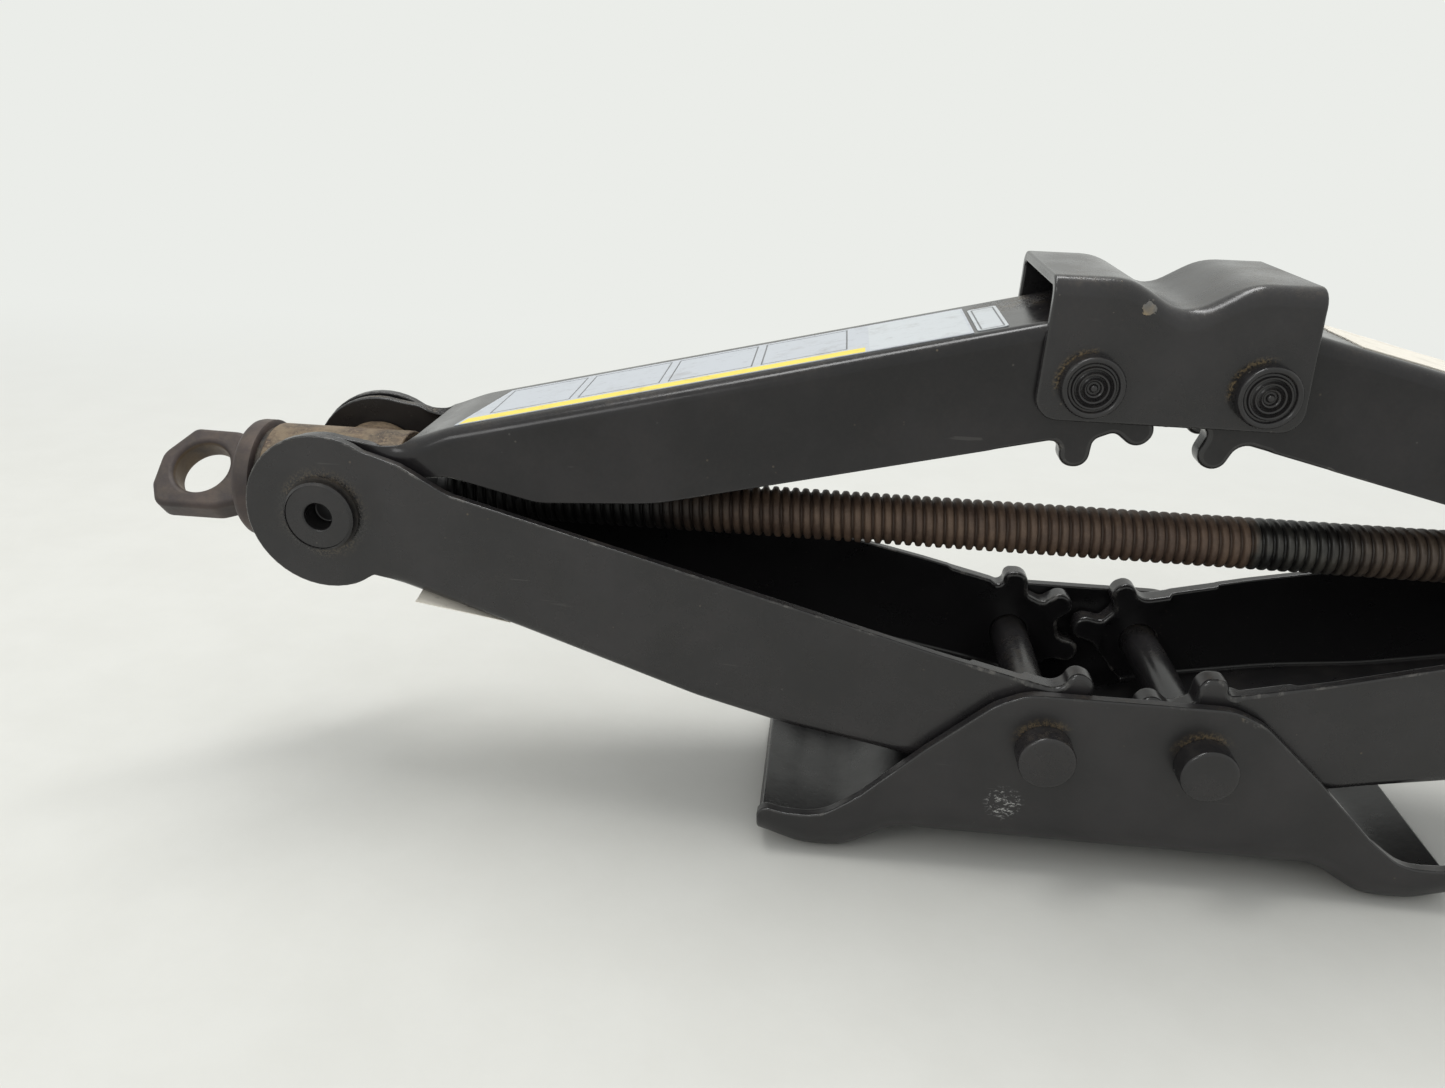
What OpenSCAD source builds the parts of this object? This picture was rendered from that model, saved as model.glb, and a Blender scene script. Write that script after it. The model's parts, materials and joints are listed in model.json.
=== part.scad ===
// Scissor jack: pressed channel arms on a stamped base, opened and closed by one screw.
// Origin: on the floor, halfway between the drive eye's front and the screw's free end.
// X runs along the screw, with the drive eye at -X. Y runs across, Z is up.
// Lengths are millimetres, angles are degrees.

/* [Linkage] */
// Length of each arm from pivot to pivot
arm_length = 180; // [160:1:210]
// Half the distance between the two pivots of the base and of the saddle
pivot_half = 18; // [17:0.5:19.5]
// Angle of the arms to the level at rest
arm_angle = 13.5; // [9:0.5:24]
// Height of the base pivots above the floor
base_pivot_height = 36; // [34:0.5:42]

/* [Base] */
// Half length of the base
base_half_length = 84; // [76:1:95]
// Half width over the outside of the base walls
base_half_width = 34; // [32.5:0.5:38]
// Sheet thickness of the base
base_sheet = 3; // [2.4:0.1:3.4]
// Outside radius of the bend between plate and wall
base_bend = 8; // [5:0.5:10]
// Height of the wall's flat top above the pivots
base_wall_rise = 14; // [12:0.5:16]
// Half length of the wall's flat top
base_wall_flat = 23; // [20:0.5:26]
// Height of the foot walls above the floor
base_foot_wall = 12; // [10:0.5:16]
// Lift of the plate between the feet
base_plate_lift = 7.5; // [5:0.5:9]
// Lift of the turned-up tip of each foot
base_tip_lift = 4; // [2:0.5:6]

/* [Saddle] */
// Half length of the saddle at its top
saddle_half_length = 26.7; // [25.5:0.1:30]
// Extra length of the saddle's end on the drive side
saddle_drive_overhang = 1.6; // [0:0.1:3]
// Widening of the saddle's wall towards its lower corners
saddle_flare = 0.8; // [0.4:0.1:2]
// Half width over the outside of the saddle walls
saddle_half_width = 22.5; // [21.9:0.1:24]
// Sheet thickness of the saddle
saddle_sheet = 2.5; // [2:0.1:2.8]
// Height of the saddle's top above its pivots
saddle_rise = 22.3; // [21.8:0.1:26]
// Drop of the saddle walls below its pivots
saddle_drop = 8.4; // [7:0.1:10]
// Outside radius of the bend between saddle top and wall
saddle_bend = 4; // [3:0.1:5]
// Depth of the groove across the saddle, to the point of its vee
groove_depth = 7.2; // [4:0.1:7.4]
// Half width of the groove at the top
groove_half = 12.2; // [9:0.1:14]
// Blend radius of the groove's floor
groove_floor_blend = 8; // [3:0.5:9]
// Blend radius of the groove's lips
groove_lip_blend = 14; // [6:1:18]

/* [Arms] */
// Sheet thickness of the arms
arm_sheet = 2.5; // [2:0.1:2.7]
// Half width over the outer ears of the lower arms
lower_ear_half = 22.2; // [21.8:0.1:24]
// Radius of the lower arms' ears
lower_ear_radius = 19.4; // [18:0.1:21]
// Radius of the upper arms' ears
upper_ear_radius = 18.8; // [17:0.1:19]
// Step of the upper arms' flanks out from their ears
upper_joggle = 1.1; // [0.6:0.1:1.3]
// Height of the upper arms' web over the line of pivots
upper_web_rise = 14; // [13:0.1:14.6]
// Depth of the upper arms' flanks below the line of pivots
upper_flank_drop = 12; // [11:0.1:13]
// Height of the lower arms' open edge over the line of pivots
lower_edge_rise = 14; // [13:0.1:15]
// Depth of the lower arms' web below the line of pivots, at its deepest
lower_web_drop = 17.6; // [15.5:0.1:18.5]
// Outside radius of the bends along the upper arms
arm_bend = 3.5; // [2.8:0.1:4.5]

/* [Teeth] */
// Height of the teeth outside the pitch circle
tooth_addendum = 1.6; // [1:0.1:1.8]
// Depth of the valleys inside the pitch circle
tooth_dedendum = 5; // [4:0.1:5.5]
// Radius of a tooth's rounded end, half of the tooth's width
tooth_round = 3.3; // [2.8:0.1:3.4]
// Blend radius of the valleys between teeth
tooth_valley_blend = 2.2; // [1.5:0.1:2.6]
// Blend radius where the open edge runs into the first tooth
tooth_lead_blend = 3.5; // [2:0.1:5]
// Width of a tooth across the jack, as far as its turned-in rim
tooth_rim_width = 6; // [4:0.5:7]

/* [Pivots] */
// Radius of the four long rivets
rivet_radius = 5; // [4:0.1:6]
// Radius of the plain heads of the base rivets
base_head_radius = 6.6; // [6.2:0.1:8]
// Height of the heads of the base rivets
base_head_height = 6; // [3:0.5:7]
// Radius of the ringed heads of the saddle rivets
saddle_head_radius = 6.8; // [6.2:0.1:8]
// Height of the heads of the saddle rivets
saddle_head_height = 4; // [2:0.1:5]
// Radius of the trunnion journals in the arm ears
journal_radius = 6.5; // [5:0.1:7.5]
// Radius of the trunnion's riveted ends
journal_head_radius = 8.4; // [7.8:0.1:10]
// Height of the riveted ends over their washers
journal_head_height = 1.9; // [1:0.1:3]
// Radius of the centre hole in the riveted ends
journal_hole_radius = 3.4; // [2:0.1:4]
// Depth of the centre hole in the riveted ends
journal_hole_depth = 6; // [3:0.5:8]
// Radius of the flat washers under the riveted ends
trunnion_washer_radius = 9.2; // [8.6:0.1:11]
// Thickness of the flat washers under the riveted ends
trunnion_washer_sheet = 0.8; // [0.5:0.1:1.5]
// Radius of the trunnion blocks
trunnion_radius = 12.4; // [11:0.1:13]
// Radius of the bosses that the screw runs through
boss_radius = 14.5; // [13:0.1:15.5]

/* [Screw] */
// Radius over the thread crests
screw_radius = 6.35; // [5.5:0.05:7]
// Depth of the thread
thread_depth = 1.25; // [0.8:0.05:1.4]
// Pitch of the thread
thread_pitch = 2.5; // [2:0.25:4]
// Length of screw beyond the nut trunnion's pivot at rest
screw_overhang = 38.4; // [37:0.1:46]
// Radius of the collar behind the drive eye
collar_radius = 15.2; // [14.6:0.1:17]
// Length of the collar behind the drive eye
collar_length = 5.5; // [5:0.5:9]
// Distance from the drive pivot to the end of the trunnion's boss
drive_boss_reach = 20.5; // [20:0.5:25]
// Distance from the nut pivot to the ends of the nut block
nut_boss_reach = 18; // [17:0.5:18.5]
// Thickness of the thrust washer
thrust_washer_sheet = 1.5; // [1:0.1:2.5]
// Radius of the thrust washer
thrust_washer_radius = 13.6; // [12:0.1:14.4]
// Radius of the retaining ring on the screw
retainer_radius = 9.5; // [8.5:0.1:12]
// Thickness of the retaining ring on the screw
retainer_sheet = 2; // [1.5:0.1:3]
// Radius of the stop washer at the screw's free end
stop_washer_radius = 10; // [8.5:0.1:13]
// Thickness of the stop washer
stop_washer_sheet = 2; // [1.5:0.1:3]
// Radius of the cross pin that holds the stop washer
stop_pin_radius = 1.5; // [1:0.1:2]

/* [Drive eye] */
// Radius of the hole in the drive eye
eye_hole_radius = 7.2; // [6:0.1:8]
// Thickness of the drive eye
eye_thickness = 7.5; // [6:0.1:10]
// Half height of the drive eye
eye_half_height = 11.7; // [10.8:0.1:13]
// Distance from the drive pivot to the middle of the eye's hole
eye_reach = 41.5; // [40:0.5:46]
// Roll of the eye about the screw from facing the front
eye_roll = 48.5; // [0:0.5:90]

/* [Labels] */
// Thickness of the labels
label_sheet = 0.25; // [0.15:0.05:0.4]
// Distance of the long label from the drive pivot, along the arm
label_start = 36; // [32:1:44]
// Length of the long label
label_length = 122; // [80:1:122]
// Width of the long label
label_width = 29.5; // [20:0.5:30]
// Length of the small tag beside the long label
tag_length = 7; // [4:0.5:9]
// Width of the small tag
tag_width = 26; // [12:0.5:28]
// Gap between the long label and the tag
tag_gap = 0.8; // [0.5:0.1:2]
// Length of the paper label on the other upper arm
paper_length = 80; // [50:1:100]
// Width of the paper label
paper_width = 32; // [20:0.5:32.5]
// Distance of the paper label from the saddle pivot, along the arm
paper_start = 16; // [14:1:22]
// Length of the label under the lower arm
under_label_length = 27; // [15:1:30]
// Width of the label under the lower arm
under_label_width = 34; // [20:1:38]

/* [Clearances] */
// Radial running clearance of every pivot and bearing
running_gap = 0.08; // [0.03:0.01:0.1]
// Gap between an upper arm's flank and the saddle wall
saddle_side_gap = 0.3; // [0.2:0.05:0.5]
// Gap between a lower arm's flank and the base wall
base_side_gap = 0.5; // [0.3:0.05:0.8]
// End gap of the trunnion blocks between the upper ears
block_gap = 0.3; // [0.2:0.05:0.6]
// Face gap of washers and retainers
face_gap = 0.05; // [0.02:0.01:0.1]

/* [Hidden] */

$fn = 64;
// Steps along each blended corner of an outline
corner_steps = 6;
// Most of an edge that one corner's blend may use
corner_reach_share = 0.49;
// Overrun of every cut past the faces it opens
cut_over = 1;

// Heights and lengths that follow from the linkage
screw_z = base_pivot_height + arm_length * sin(arm_angle);
saddle_pivot_z = screw_z + arm_length * sin(arm_angle);
trunnion_x = pivot_half + arm_length * cos(arm_angle);

// Half widths that nest inside one another, from the outside in
base_inner_half = base_half_width - base_sheet;
lower_end_half = base_inner_half - base_side_gap;
upper_half = saddle_half_width - saddle_sheet - saddle_side_gap;
upper_ear_half = upper_half - upper_joggle;
block_half = upper_ear_half - arm_sheet - block_gap;

// Where the lower flanks start and stop spreading, as shares of the arm's length
flare_shares = [0.067, 0.833];
// Where the upper flanks step out from the ears, as shares of the arm's length
joggle_shares = [0.122, 0.15];
// How far the webs run past the end pivots, as a share of the arm's length
web_past_share = 0.033;
web_end = arm_length * (1 + web_past_share);
// How far the tongues of the lower webs run past them, as a share of the pivots' half distance
tongue_past_share = 1.02;
tongue_end = arm_length + pivot_half * tongue_past_share;
tongue_half = lower_end_half - base_bend / 2;

// Outline of an upper flank: x as shares of the arm, z as shares of the web's rise or the drop
upper_top_shares = [[0.05, 1.17], [0.1, 0.92], [0.139, 1]];
upper_top_blends_share = [0, 0.5, 0.12];
upper_low_shares = [[0.445, -1], [0.29, -0.6], [0.18, 0.24], [0.15, 0.29], [0.055, 0.58]];
upper_low_blends_share = [4, 1.5, 0.5, 0.15, 0];

// Outline of a lower flank: x as shares of the arm, z as shares of the web's drop
lower_web_shares = [[0.122, 0.756], [0.3, 0.835], [0.55, 1], [0.68, 0.985], [0.8, 0.875], [0.95, 0.8]];
lower_web_blends_share = [0, 3, 4, 3, 3, 0];
lower_ear_shares = [[0.055, 0.74], [0.087, 0.716], [0.116, 0.716]];
// Outline of a lower flank's open edge: x as shares of the arm, z as shares of the edge's rise
lower_open_shares = [[0.16, -1.02], [0.09, -1.26], [0.03, -1.3]];
lower_open_blends_share = [0.8, 0.5, 0];

// Top edge of the base wall: x as shares of the run from its flat top to its end,
// z as shares of the fall from the flat top to the foot wall
wall_run_shares = [[0.12, 0.09], [0.36, 0.44], [0.6, 0.83], [0.75, 1.01], [0.9, 1.0], [1, 0.96]];
wall_blend_share = 0.35;
// Bends of the base plate, as shares of its half length
plate_ramp_shares = [0.6, 0.74, 0.87];
// Rounding of the base wall's corners, as a share of the bend
wall_corner_share = 0.4;
// Rounding of the saddle's lower corners and of its top ends, as shares of its drop
saddle_corner_share = 0.6;
saddle_end_share = 0.05;

// Teeth stand a seventh of a turn apart, and the far flank's teeth lie half a step between
tooth_step = 360 / 7;
first_tooth = -105;
tooth_tip = pivot_half + tooth_addendum;
tooth_root = pivot_half - tooth_dedendum;
// Widening of a tooth at its root, as a share of its half width
tooth_flare_share = 0.1;
// The turned-in edge that leads to the teeth, as a share of the arm's length
rim_lead_share = 0.875;
// Sector that holds the teeth, seen from the end pivot
rim_sector = [-125, 45];

// The drive eye's outline: x as shares of its reach past the collar, y as shares of its half height
eye_shares = [[0, 0.72], [0.28, 0.98], [0.74, 1], [1, 0.3],
    [1, -0.5], [0.9, -1], [0.28, -1], [0, -0.72]];
eye_blends_share = [0, 0.5, 0.12, 0.4, 0.25, 0.3, 0.5, 0];
eye_front = trunnion_x + eye_reach + eye_half_height;
collar_back = trunnion_x + drive_boss_reach + thrust_washer_sheet + 2 * face_gap;
collar_front = collar_back + collar_length;

// The screw runs from inside the collar to its overhang past the nut
shank_seat = collar_length / 2;
screw_start = -collar_back - shank_seat;
screw_end = trunnion_x + screw_overhang;
bore_radius = screw_radius + running_gap;
// The middle of the base lies this far along X from the origin
base_shift = (eye_front - screw_end) / 2;
shank_end = -trunnion_x + boss_radius + retainer_sheet + 2 * thread_pitch;
// Thread form as shares of the pitch: root, flank, crest
thread_shares = [0.3, 0.15, 0.4];
stop_x = screw_end - stop_washer_sheet - 3 * stop_pin_radius;

// Ringed rivet heads: radii as shares of the head's radius, heights as shares of its height
ring_shares = [[0, 1], [0.1, 1], [0.17, 0.9], [0.3, 0.9], [0.36, 1], [0.46, 0.9], [0.56, 0.9], [0.62, 1],
    [0.7, 0.9], [0.8, 0.92], [0.94, 0.97], [1, 0.86], [1, 0]];
head_chamfer_share = 0.06;

// Everything is drawn about the middle of the base, then set in its place
module placed() {
    translate([base_shift, 0, 0]) children();
}

function unit(v) = v / norm(v);
// Arc that blends the corner q between p and s with radius r
function blend(p, q, s, r) =
    let (
        u = unit(p - q),
        w = unit(s - q),
        half = acos(u * w) / 2,
        reach = min(r / tan(half), corner_reach_share * min(norm(p - q), norm(s - q))),
        rr = reach * tan(half),
        mid = q + unit(u + w) * reach / cos(half),
        a = q + u * reach - mid,
        b = q + w * reach - mid,
        start = atan2(a[1], a[0]),
        turn = atan2(a[0] * b[1] - a[1] * b[0], a * b)
    )
    [for (i = [0:corner_steps]) mid + rr * [cos(start + turn * i / corner_steps),
        sin(start + turn * i / corner_steps)]];
// Outline from points [x, y, blend radius]
function smooth(pts) =
    let (n = len(pts))
    [for (i = [0:n - 1])
        let (
            q = [pts[i][0], pts[i][1]],
            p = [pts[(i + n - 1) % n][0], pts[(i + n - 1) % n][1]],
            s = [pts[(i + 1) % n][0], pts[(i + 1) % n][1]]
        )
        each (pts[i][2] > 0 ? blend(p, q, s, pts[i][2]) : [q])];
function rounded(p, r) = [p[0], p[1], r];
function reversed(list) = [for (i = [len(list) - 1:-1:0]) list[i]];
function scaled(shares, x, y, radii, r) =
    [for (i = [0:len(shares) - 1]) [shares[i][0] * x, shares[i][1] * y, radii[i] * r]];

// Extrudes an outline drawn in X and Z across the jack, from y = low to y = high
module across(low, high) {
    translate([0, high, 0]) rotate([90, 0, 0]) linear_extrude(high - low) children();
}
// Extrudes an outline drawn in Y and Z along X, from x = low to x = high
module along(low, high) {
    translate([low, 0, 0]) rotate([90, 0, 90]) linear_extrude(high - low) children();
}
// Round bar across the jack
module bar(r, low, high) {
    translate([0, high, 0]) rotate([90, 0, 0]) cylinder(r = r, h = high - low);
}
// Round bar along the jack
module rod(r, low, high) {
    translate([low, 0, 0]) rotate([0, 90, 0]) cylinder(r = r, h = high - low);
}

// Section of the base over the plate's underside: a channel with blended lower corners
base_section =
    let (top = base_pivot_height + base_wall_rise + cut_over)
    smooth([
        [base_half_width, top, 0], [base_half_width, 0, base_bend],
        [-base_half_width, 0, base_bend], [-base_half_width, top, 0],
        [-base_inner_half, top, 0], [-base_inner_half, base_sheet, base_bend - base_sheet],
        [base_inner_half, base_sheet, base_bend - base_sheet], [base_inner_half, top, 0]
    ]);
// Line of the plate's underside, from end to end
plate_half_line = [
    [plate_ramp_shares[0] * base_half_length, base_plate_lift],
    [plate_ramp_shares[1] * base_half_length, 0],
    [plate_ramp_shares[2] * base_half_length, 0],
    [base_half_length + cut_over, base_tip_lift]
];
plate_line = concat([for (p = reversed(plate_half_line)) [-p[0], p[1]]], plate_half_line);
// The section carried along the plate's line
module base_channel() {
    n = len(base_section);
    last = (len(plate_line) - 1) * n;
    // Four-cornered faces along the channel, then across its sheet at the two ends
    sides = [for (j = [0:len(plate_line) - 2]) for (i = [0:n - 1])
        [j * n + i, j * n + (i + 1) % n, (j + 1) * n + (i + 1) % n, (j + 1) * n + i]];
    near_end = [for (i = [0:n / 2 - 2]) [n - 1 - i, n - 2 - i, i + 1, i]];
    far_end = [for (f = near_end) [for (i = reversed(f)) last + i]];
    faces = [for (f = concat(sides, near_end, far_end)) each [[f[0], f[1], f[2]], [f[0], f[2], f[3]]]];
    polyhedron([for (p = plate_line) for (q = base_section) [p[0], q[0], p[1] + q[1]]], faces);
}
module base_side() {
    top = base_pivot_height + base_wall_rise;
    run = base_half_length - base_wall_flat;
    fall = top - base_foot_wall;
    edge = [for (s = wall_run_shares) [base_wall_flat + run * s[0], top - fall * s[1],
        s[0] < 1 ? wall_blend_share * fall : wall_corner_share * base_bend]];
    right = concat([[base_wall_flat, top, wall_blend_share * fall]], edge,
        [[base_half_length, -cut_over, 0]]);
    left = [for (p = reversed(right)) [-p[0], p[1], p[2]]];
    polygon(smooth(concat(left, right)));
}
module base() {
    color([0.13, 0.13, 0.14]) placed() difference() {
        intersection() {
            base_channel();
            across(-base_half_width - cut_over, base_half_width + cut_over) base_side();
        }
        for (side = [-1, 1]) translate([side * pivot_half, 0, base_pivot_height])
            bar(rivet_radius + running_gap, -base_half_width - cut_over, base_half_width + cut_over);
    }
}

// Long rivet across the jack, with its head on the near side and its closed end on the far side
module plain_head(r, h) {
    cylinder(r = r, h = h * (1 - head_chamfer_share));
    translate([0, 0, h * (1 - head_chamfer_share)])
        cylinder(r1 = r, r2 = r - h * head_chamfer_share, h = h * head_chamfer_share);
}
module ringed_head(r, h) {
    rotate_extrude() polygon(concat([[0, 0]], [for (s = ring_shares) [s[0] * r, s[1] * h]]));
}
module base_rivet(side) {
    color([0.2, 0.19, 0.18]) placed() translate([side * pivot_half, 0, base_pivot_height]) {
        bar(rivet_radius, -base_half_width, base_half_width);
        translate([0, -base_half_width, 0]) rotate([90, 0, 0]) plain_head(base_head_radius, base_head_height);
        translate([0, base_half_width, 0]) rotate([-90, 0, 0])
            ringed_head(base_head_radius, base_head_height);
    }
}
module saddle_rivet(side) {
    color([0.18, 0.17, 0.16]) placed() translate([side * pivot_half, 0, saddle_pivot_z]) {
        bar(rivet_radius, -saddle_half_width, saddle_half_width);
        for (turn = [90, -90]) translate([0, turn > 0 ? -saddle_half_width : saddle_half_width, 0])
            rotate([turn, 0, 0]) ringed_head(saddle_head_radius, saddle_head_height);
    }
}

// Point at a distance out from the end pivot along the angle a, and a distance aside
function out_from_end(a, out, aside) =
    [arm_length + out * cos(a) - aside * sin(a), out * sin(a) + aside * cos(a)];
// How far out the first tooth's side meets an open edge that lies a depth below the pivots
function tooth_start(a, depth) = (tooth_round * cos(a) - depth) / sin(a);
// Teeth around the end pivot, from the open edge on: three, or two half a step further round
function teeth(shifted, depth) =
    let (start = first_tooth + (shifted ? tooth_step / 2 : 0), count = shifted ? 2 : 3)
    [for (i = [0:count - 1])
        let (a = start + i * tooth_step, base = tooth_round * (1 + tooth_flare_share))
        each [
            rounded(i == 0 ? out_from_end(a, tooth_start(a, depth), -tooth_round)
                : out_from_end(a, tooth_root, -base), i == 0 ? tooth_lead_blend : tooth_valley_blend),
            rounded(out_from_end(a, tooth_tip, -tooth_round), tooth_round),
            rounded(out_from_end(a, tooth_tip, tooth_round), tooth_round),
            rounded(out_from_end(a, tooth_root, base), tooth_valley_blend)
        ]];
// Keeps only the toothed rim of a flank: outside the hub and within the teeth's sector
module rim_only() {
    far = 2 * tooth_tip;
    intersection() {
        difference() {
            children();
            translate([arm_length, 0]) circle(r = tooth_root - arm_sheet);
        }
        translate([arm_length, 0]) polygon([[0, 0], far * [cos(rim_sector[0]), sin(rim_sector[0])],
            far * [cos(rim_sector[0] / 2), sin(rim_sector[0] / 2)], [far, 0],
            far * [cos(rim_sector[1]), sin(rim_sector[1])]]);
    }
}

// Strip between a line in plan and the same line moved inwards, on the side given
module plan_strip(line, side) {
    inner = [for (p = line) [p[0], p[1] - arm_sheet]];
    pts = concat(line, reversed(inner));
    polygon([for (p = pts) [p[0], side * p[1]]]);
}
module plan_area(line) {
    polygon(concat(line, [for (p = reversed(line)) [p[0], -p[1]]]));
}
// Upright slab over a plan
module upright() {
    tall = 2 * arm_length;
    translate([0, 0, -tall / 2]) linear_extrude(tall) children();
}

// Line in plan of the upper flanks' outer faces
upper_plan = [
    [-upper_ear_radius - cut_over, upper_ear_half],
    [joggle_shares[0] * arm_length, upper_ear_half],
    [joggle_shares[1] * arm_length, upper_half],
    [arm_length + tooth_tip + cut_over, upper_half]
];
// Line in plan of the lower flanks' outer faces
lower_plan = [
    [-lower_ear_radius - cut_over, lower_ear_half],
    [flare_shares[0] * arm_length, lower_ear_half],
    [flare_shares[1] * arm_length, lower_end_half],
    [arm_length + tooth_tip + cut_over, lower_end_half]
];

// Arms are drawn with the drive or nut pivot at the origin, the end pivot on +X and the web on +Z
module upper_side(shifted) {
    top = scaled(upper_top_shares, arm_length, upper_web_rise, upper_top_blends_share, upper_web_rise);
    low = scaled(upper_low_shares, arm_length, upper_flank_drop, upper_low_blends_share, upper_flank_drop);
    circle(r = upper_ear_radius);
    polygon(smooth(concat(reversed(low), teeth(shifted, upper_flank_drop),
        [[web_end, upper_web_rise, arm_sheet]], reversed(top))));
}
module lower_side(shifted) {
    web = scaled(lower_web_shares, arm_length, lower_web_drop, lower_web_blends_share, lower_web_drop);
    ear = [for (s = lower_ear_shares) [s[0] * arm_length, s[1] * lower_web_drop, 0]];
    open = scaled(lower_open_shares, arm_length, lower_edge_rise, lower_open_blends_share, lower_edge_rise);
    circle(r = lower_ear_radius);
    polygon(smooth(concat(reversed(open), teeth(shifted, lower_edge_rise),
        [[web_end, web[len(web) - 1][1], arm_sheet]], reversed(web), reversed(ear))));
}
// Side line of each web's outer face
function upper_web_line() =
    [[upper_top_shares[2][0] * arm_length, upper_web_rise], [web_end, upper_web_rise]];
function lower_web_line() =
    let (web = scaled(lower_web_shares, arm_length, lower_web_drop, lower_web_blends_share, lower_web_drop),
        last = web[len(web) - 1],
        run = smooth(concat(web, [[web_end, last[1], 0], [web_end, 0, 0], [web[0][0], 0, 0]])))
    [for (p = run) if (p[1] > 0) p];
module web_side(line) {
    polygon(concat(line, [for (p = reversed(line)) [p[0], p[1] - arm_sheet]]));
}

// Corner waste left outside a bend along X whose faces meet at y = w and z = h
module bend_waste(w, h, r, low, high) {
    difference() {
        translate([low, w - r, h - r]) cube([high - low, r + cut_over, r + cut_over]);
        translate([0, w - r, h - r]) rod(r, low - cut_over, high + cut_over);
    }
}

module pressed_arm(plan, web_line, end_half, shifted_near, edge, ear_half) {
    far_end = plan[len(plan) - 1][1] + cut_over;
    rim_lead = rim_lead_share * arm_length;
    difference() {
        union() {
            for (side = [-1, 1]) intersection() {
                across(side > 0 ? 0 : -far_end, side > 0 ? far_end : 0)
                    if ((side < 0) == shifted_near) children(1); else children(0);
                upright() plan_strip(plan, side);
            }
            intersection() {
                across(-far_end, far_end) web_side(web_line);
                upright() plan_area(plan);
            }
            for (side = [-1, 1]) {
                near = end_half * side;
                in = (end_half - tooth_rim_width) * side;
                across(min(near, in), max(near, in)) rim_only()
                    if ((side < 0) == shifted_near) children(1); else children(0);
                across(min(near, in), max(near, in)) translate([rim_lead, -edge])
                    square([arm_length - tooth_root + tooth_round - rim_lead, arm_sheet]);
            }
        }
        bar(journal_radius + running_gap, -ear_half - cut_over, ear_half + cut_over);
        translate([arm_length, 0, 0]) bar(rivet_radius + running_gap, -far_end, far_end);
    }
}
module upper_arm_shape(shifted_near) {
    difference() {
        pressed_arm(upper_plan, upper_web_line(), upper_half, shifted_near, upper_flank_drop,
            upper_ear_half) {
            upper_side(false);
            upper_side(true);
        }
        for (flip = [0, 1]) mirror([0, flip, 0]) bend_waste(upper_half, upper_web_rise, arm_bend,
            joggle_shares[1] * arm_length, web_end + cut_over);
    }
}
module lower_arm_shape(shifted_near) {
    line = lower_web_line();
    pressed_arm(lower_plan, line, lower_end_half, shifted_near, lower_edge_rise, lower_ear_half) {
        lower_side(false);
        lower_side(true);
    }
    // Tongue of the web that runs on between the flanks
    translate([web_end - arm_sheet, -tongue_half, line[len(line) - 1][1] - arm_sheet])
        cube([tongue_end - web_end + arm_sheet, 2 * tongue_half, arm_sheet]);
}
// Sets an arm at its trunnion: end is -1 at the drive eye's end and 1 at the nut's end
module at_trunnion(end, upper) {
    translate([end * trunnion_x, 0, screw_z]) mirror([end > 0 ? 1 : 0, 0, 0])
        mirror([0, 0, upper ? 0 : 1]) rotate([0, -arm_angle, 0]) children();
}
module upper_arm(end) {
    color([0.07, 0.07, 0.08]) placed() at_trunnion(end, true) upper_arm_shape(end > 0);
}
module lower_arm(end) {
    color([0.08, 0.08, 0.09]) placed() at_trunnion(end, false) lower_arm_shape(end < 0);
}

// Side outline of the saddle, its top line lowered by drop, and its walls ending at low
module saddle_side(drop, low, spread) {
    top = saddle_rise - drop;
    half = saddle_half_length + spread;
    end_round = spread > 0 ? 0 : saddle_end_share * saddle_drop;
    corner = spread > 0 ? 0 : saddle_corner_share * saddle_drop;
    polygon(smooth([
        [-half - saddle_drive_overhang, top, end_round], [-groove_half, top, groove_lip_blend],
        [0, top - groove_depth, groove_floor_blend],
        [groove_half, top, groove_lip_blend], [half, top, end_round],
        [half + saddle_flare, -low, corner],
        [-half - saddle_drive_overhang - saddle_flare, -low, corner]
    ]));
}
module saddle() {
    inner = saddle_half_width - saddle_sheet;
    color([0.07, 0.07, 0.08]) placed() translate([0, 0, saddle_pivot_z]) difference() {
        across(-saddle_half_width, saddle_half_width) saddle_side(0, saddle_drop, 0);
        across(-inner, inner) saddle_side(saddle_sheet, saddle_drop + cut_over, cut_over);
        for (flip = [0, 1]) mirror([0, flip, 0]) bend_waste(saddle_half_width, saddle_rise, saddle_bend,
            -saddle_half_length - saddle_drive_overhang - saddle_flare - cut_over,
            saddle_half_length + saddle_flare + cut_over);
        for (side = [-1, 1]) translate([side * pivot_half, 0, 0])
            bar(rivet_radius + running_gap, -saddle_half_width - cut_over, saddle_half_width + cut_over);
    }
}

// Trunnion block with its journals and riveted ends; reach is how far its boss runs each way along X
module trunnion(back_reach, front_reach) {
    washer_out = lower_ear_half + trunnion_washer_sheet + 2 * face_gap;
    head_out = washer_out + journal_head_height;
    boss = min(boss_radius, block_half);
    difference() {
        union() {
            bar(trunnion_radius, -block_half, block_half);
            rod(boss, -back_reach, front_reach);
            bar(journal_radius, -head_out, head_out);
            for (flip = [0, 1]) mirror([0, flip, 0]) translate([0, washer_out, 0]) rotate([-90, 0, 0])
                plain_head(journal_head_radius, journal_head_height);
        }
        rod(bore_radius, -back_reach - cut_over, front_reach + cut_over);
        for (flip = [0, 1]) mirror([0, flip, 0])
            bar(journal_hole_radius, head_out - journal_hole_depth, head_out + cut_over);
    }
}
module trunnion_washers() {
    for (flip = [0, 1]) mirror([0, flip, 0]) difference() {
        bar(trunnion_washer_radius, lower_ear_half + face_gap,
            lower_ear_half + face_gap + trunnion_washer_sheet);
        bar(journal_radius + running_gap, lower_ear_half - cut_over,
            lower_ear_half + trunnion_washer_sheet + cut_over);
    }
}
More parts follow.
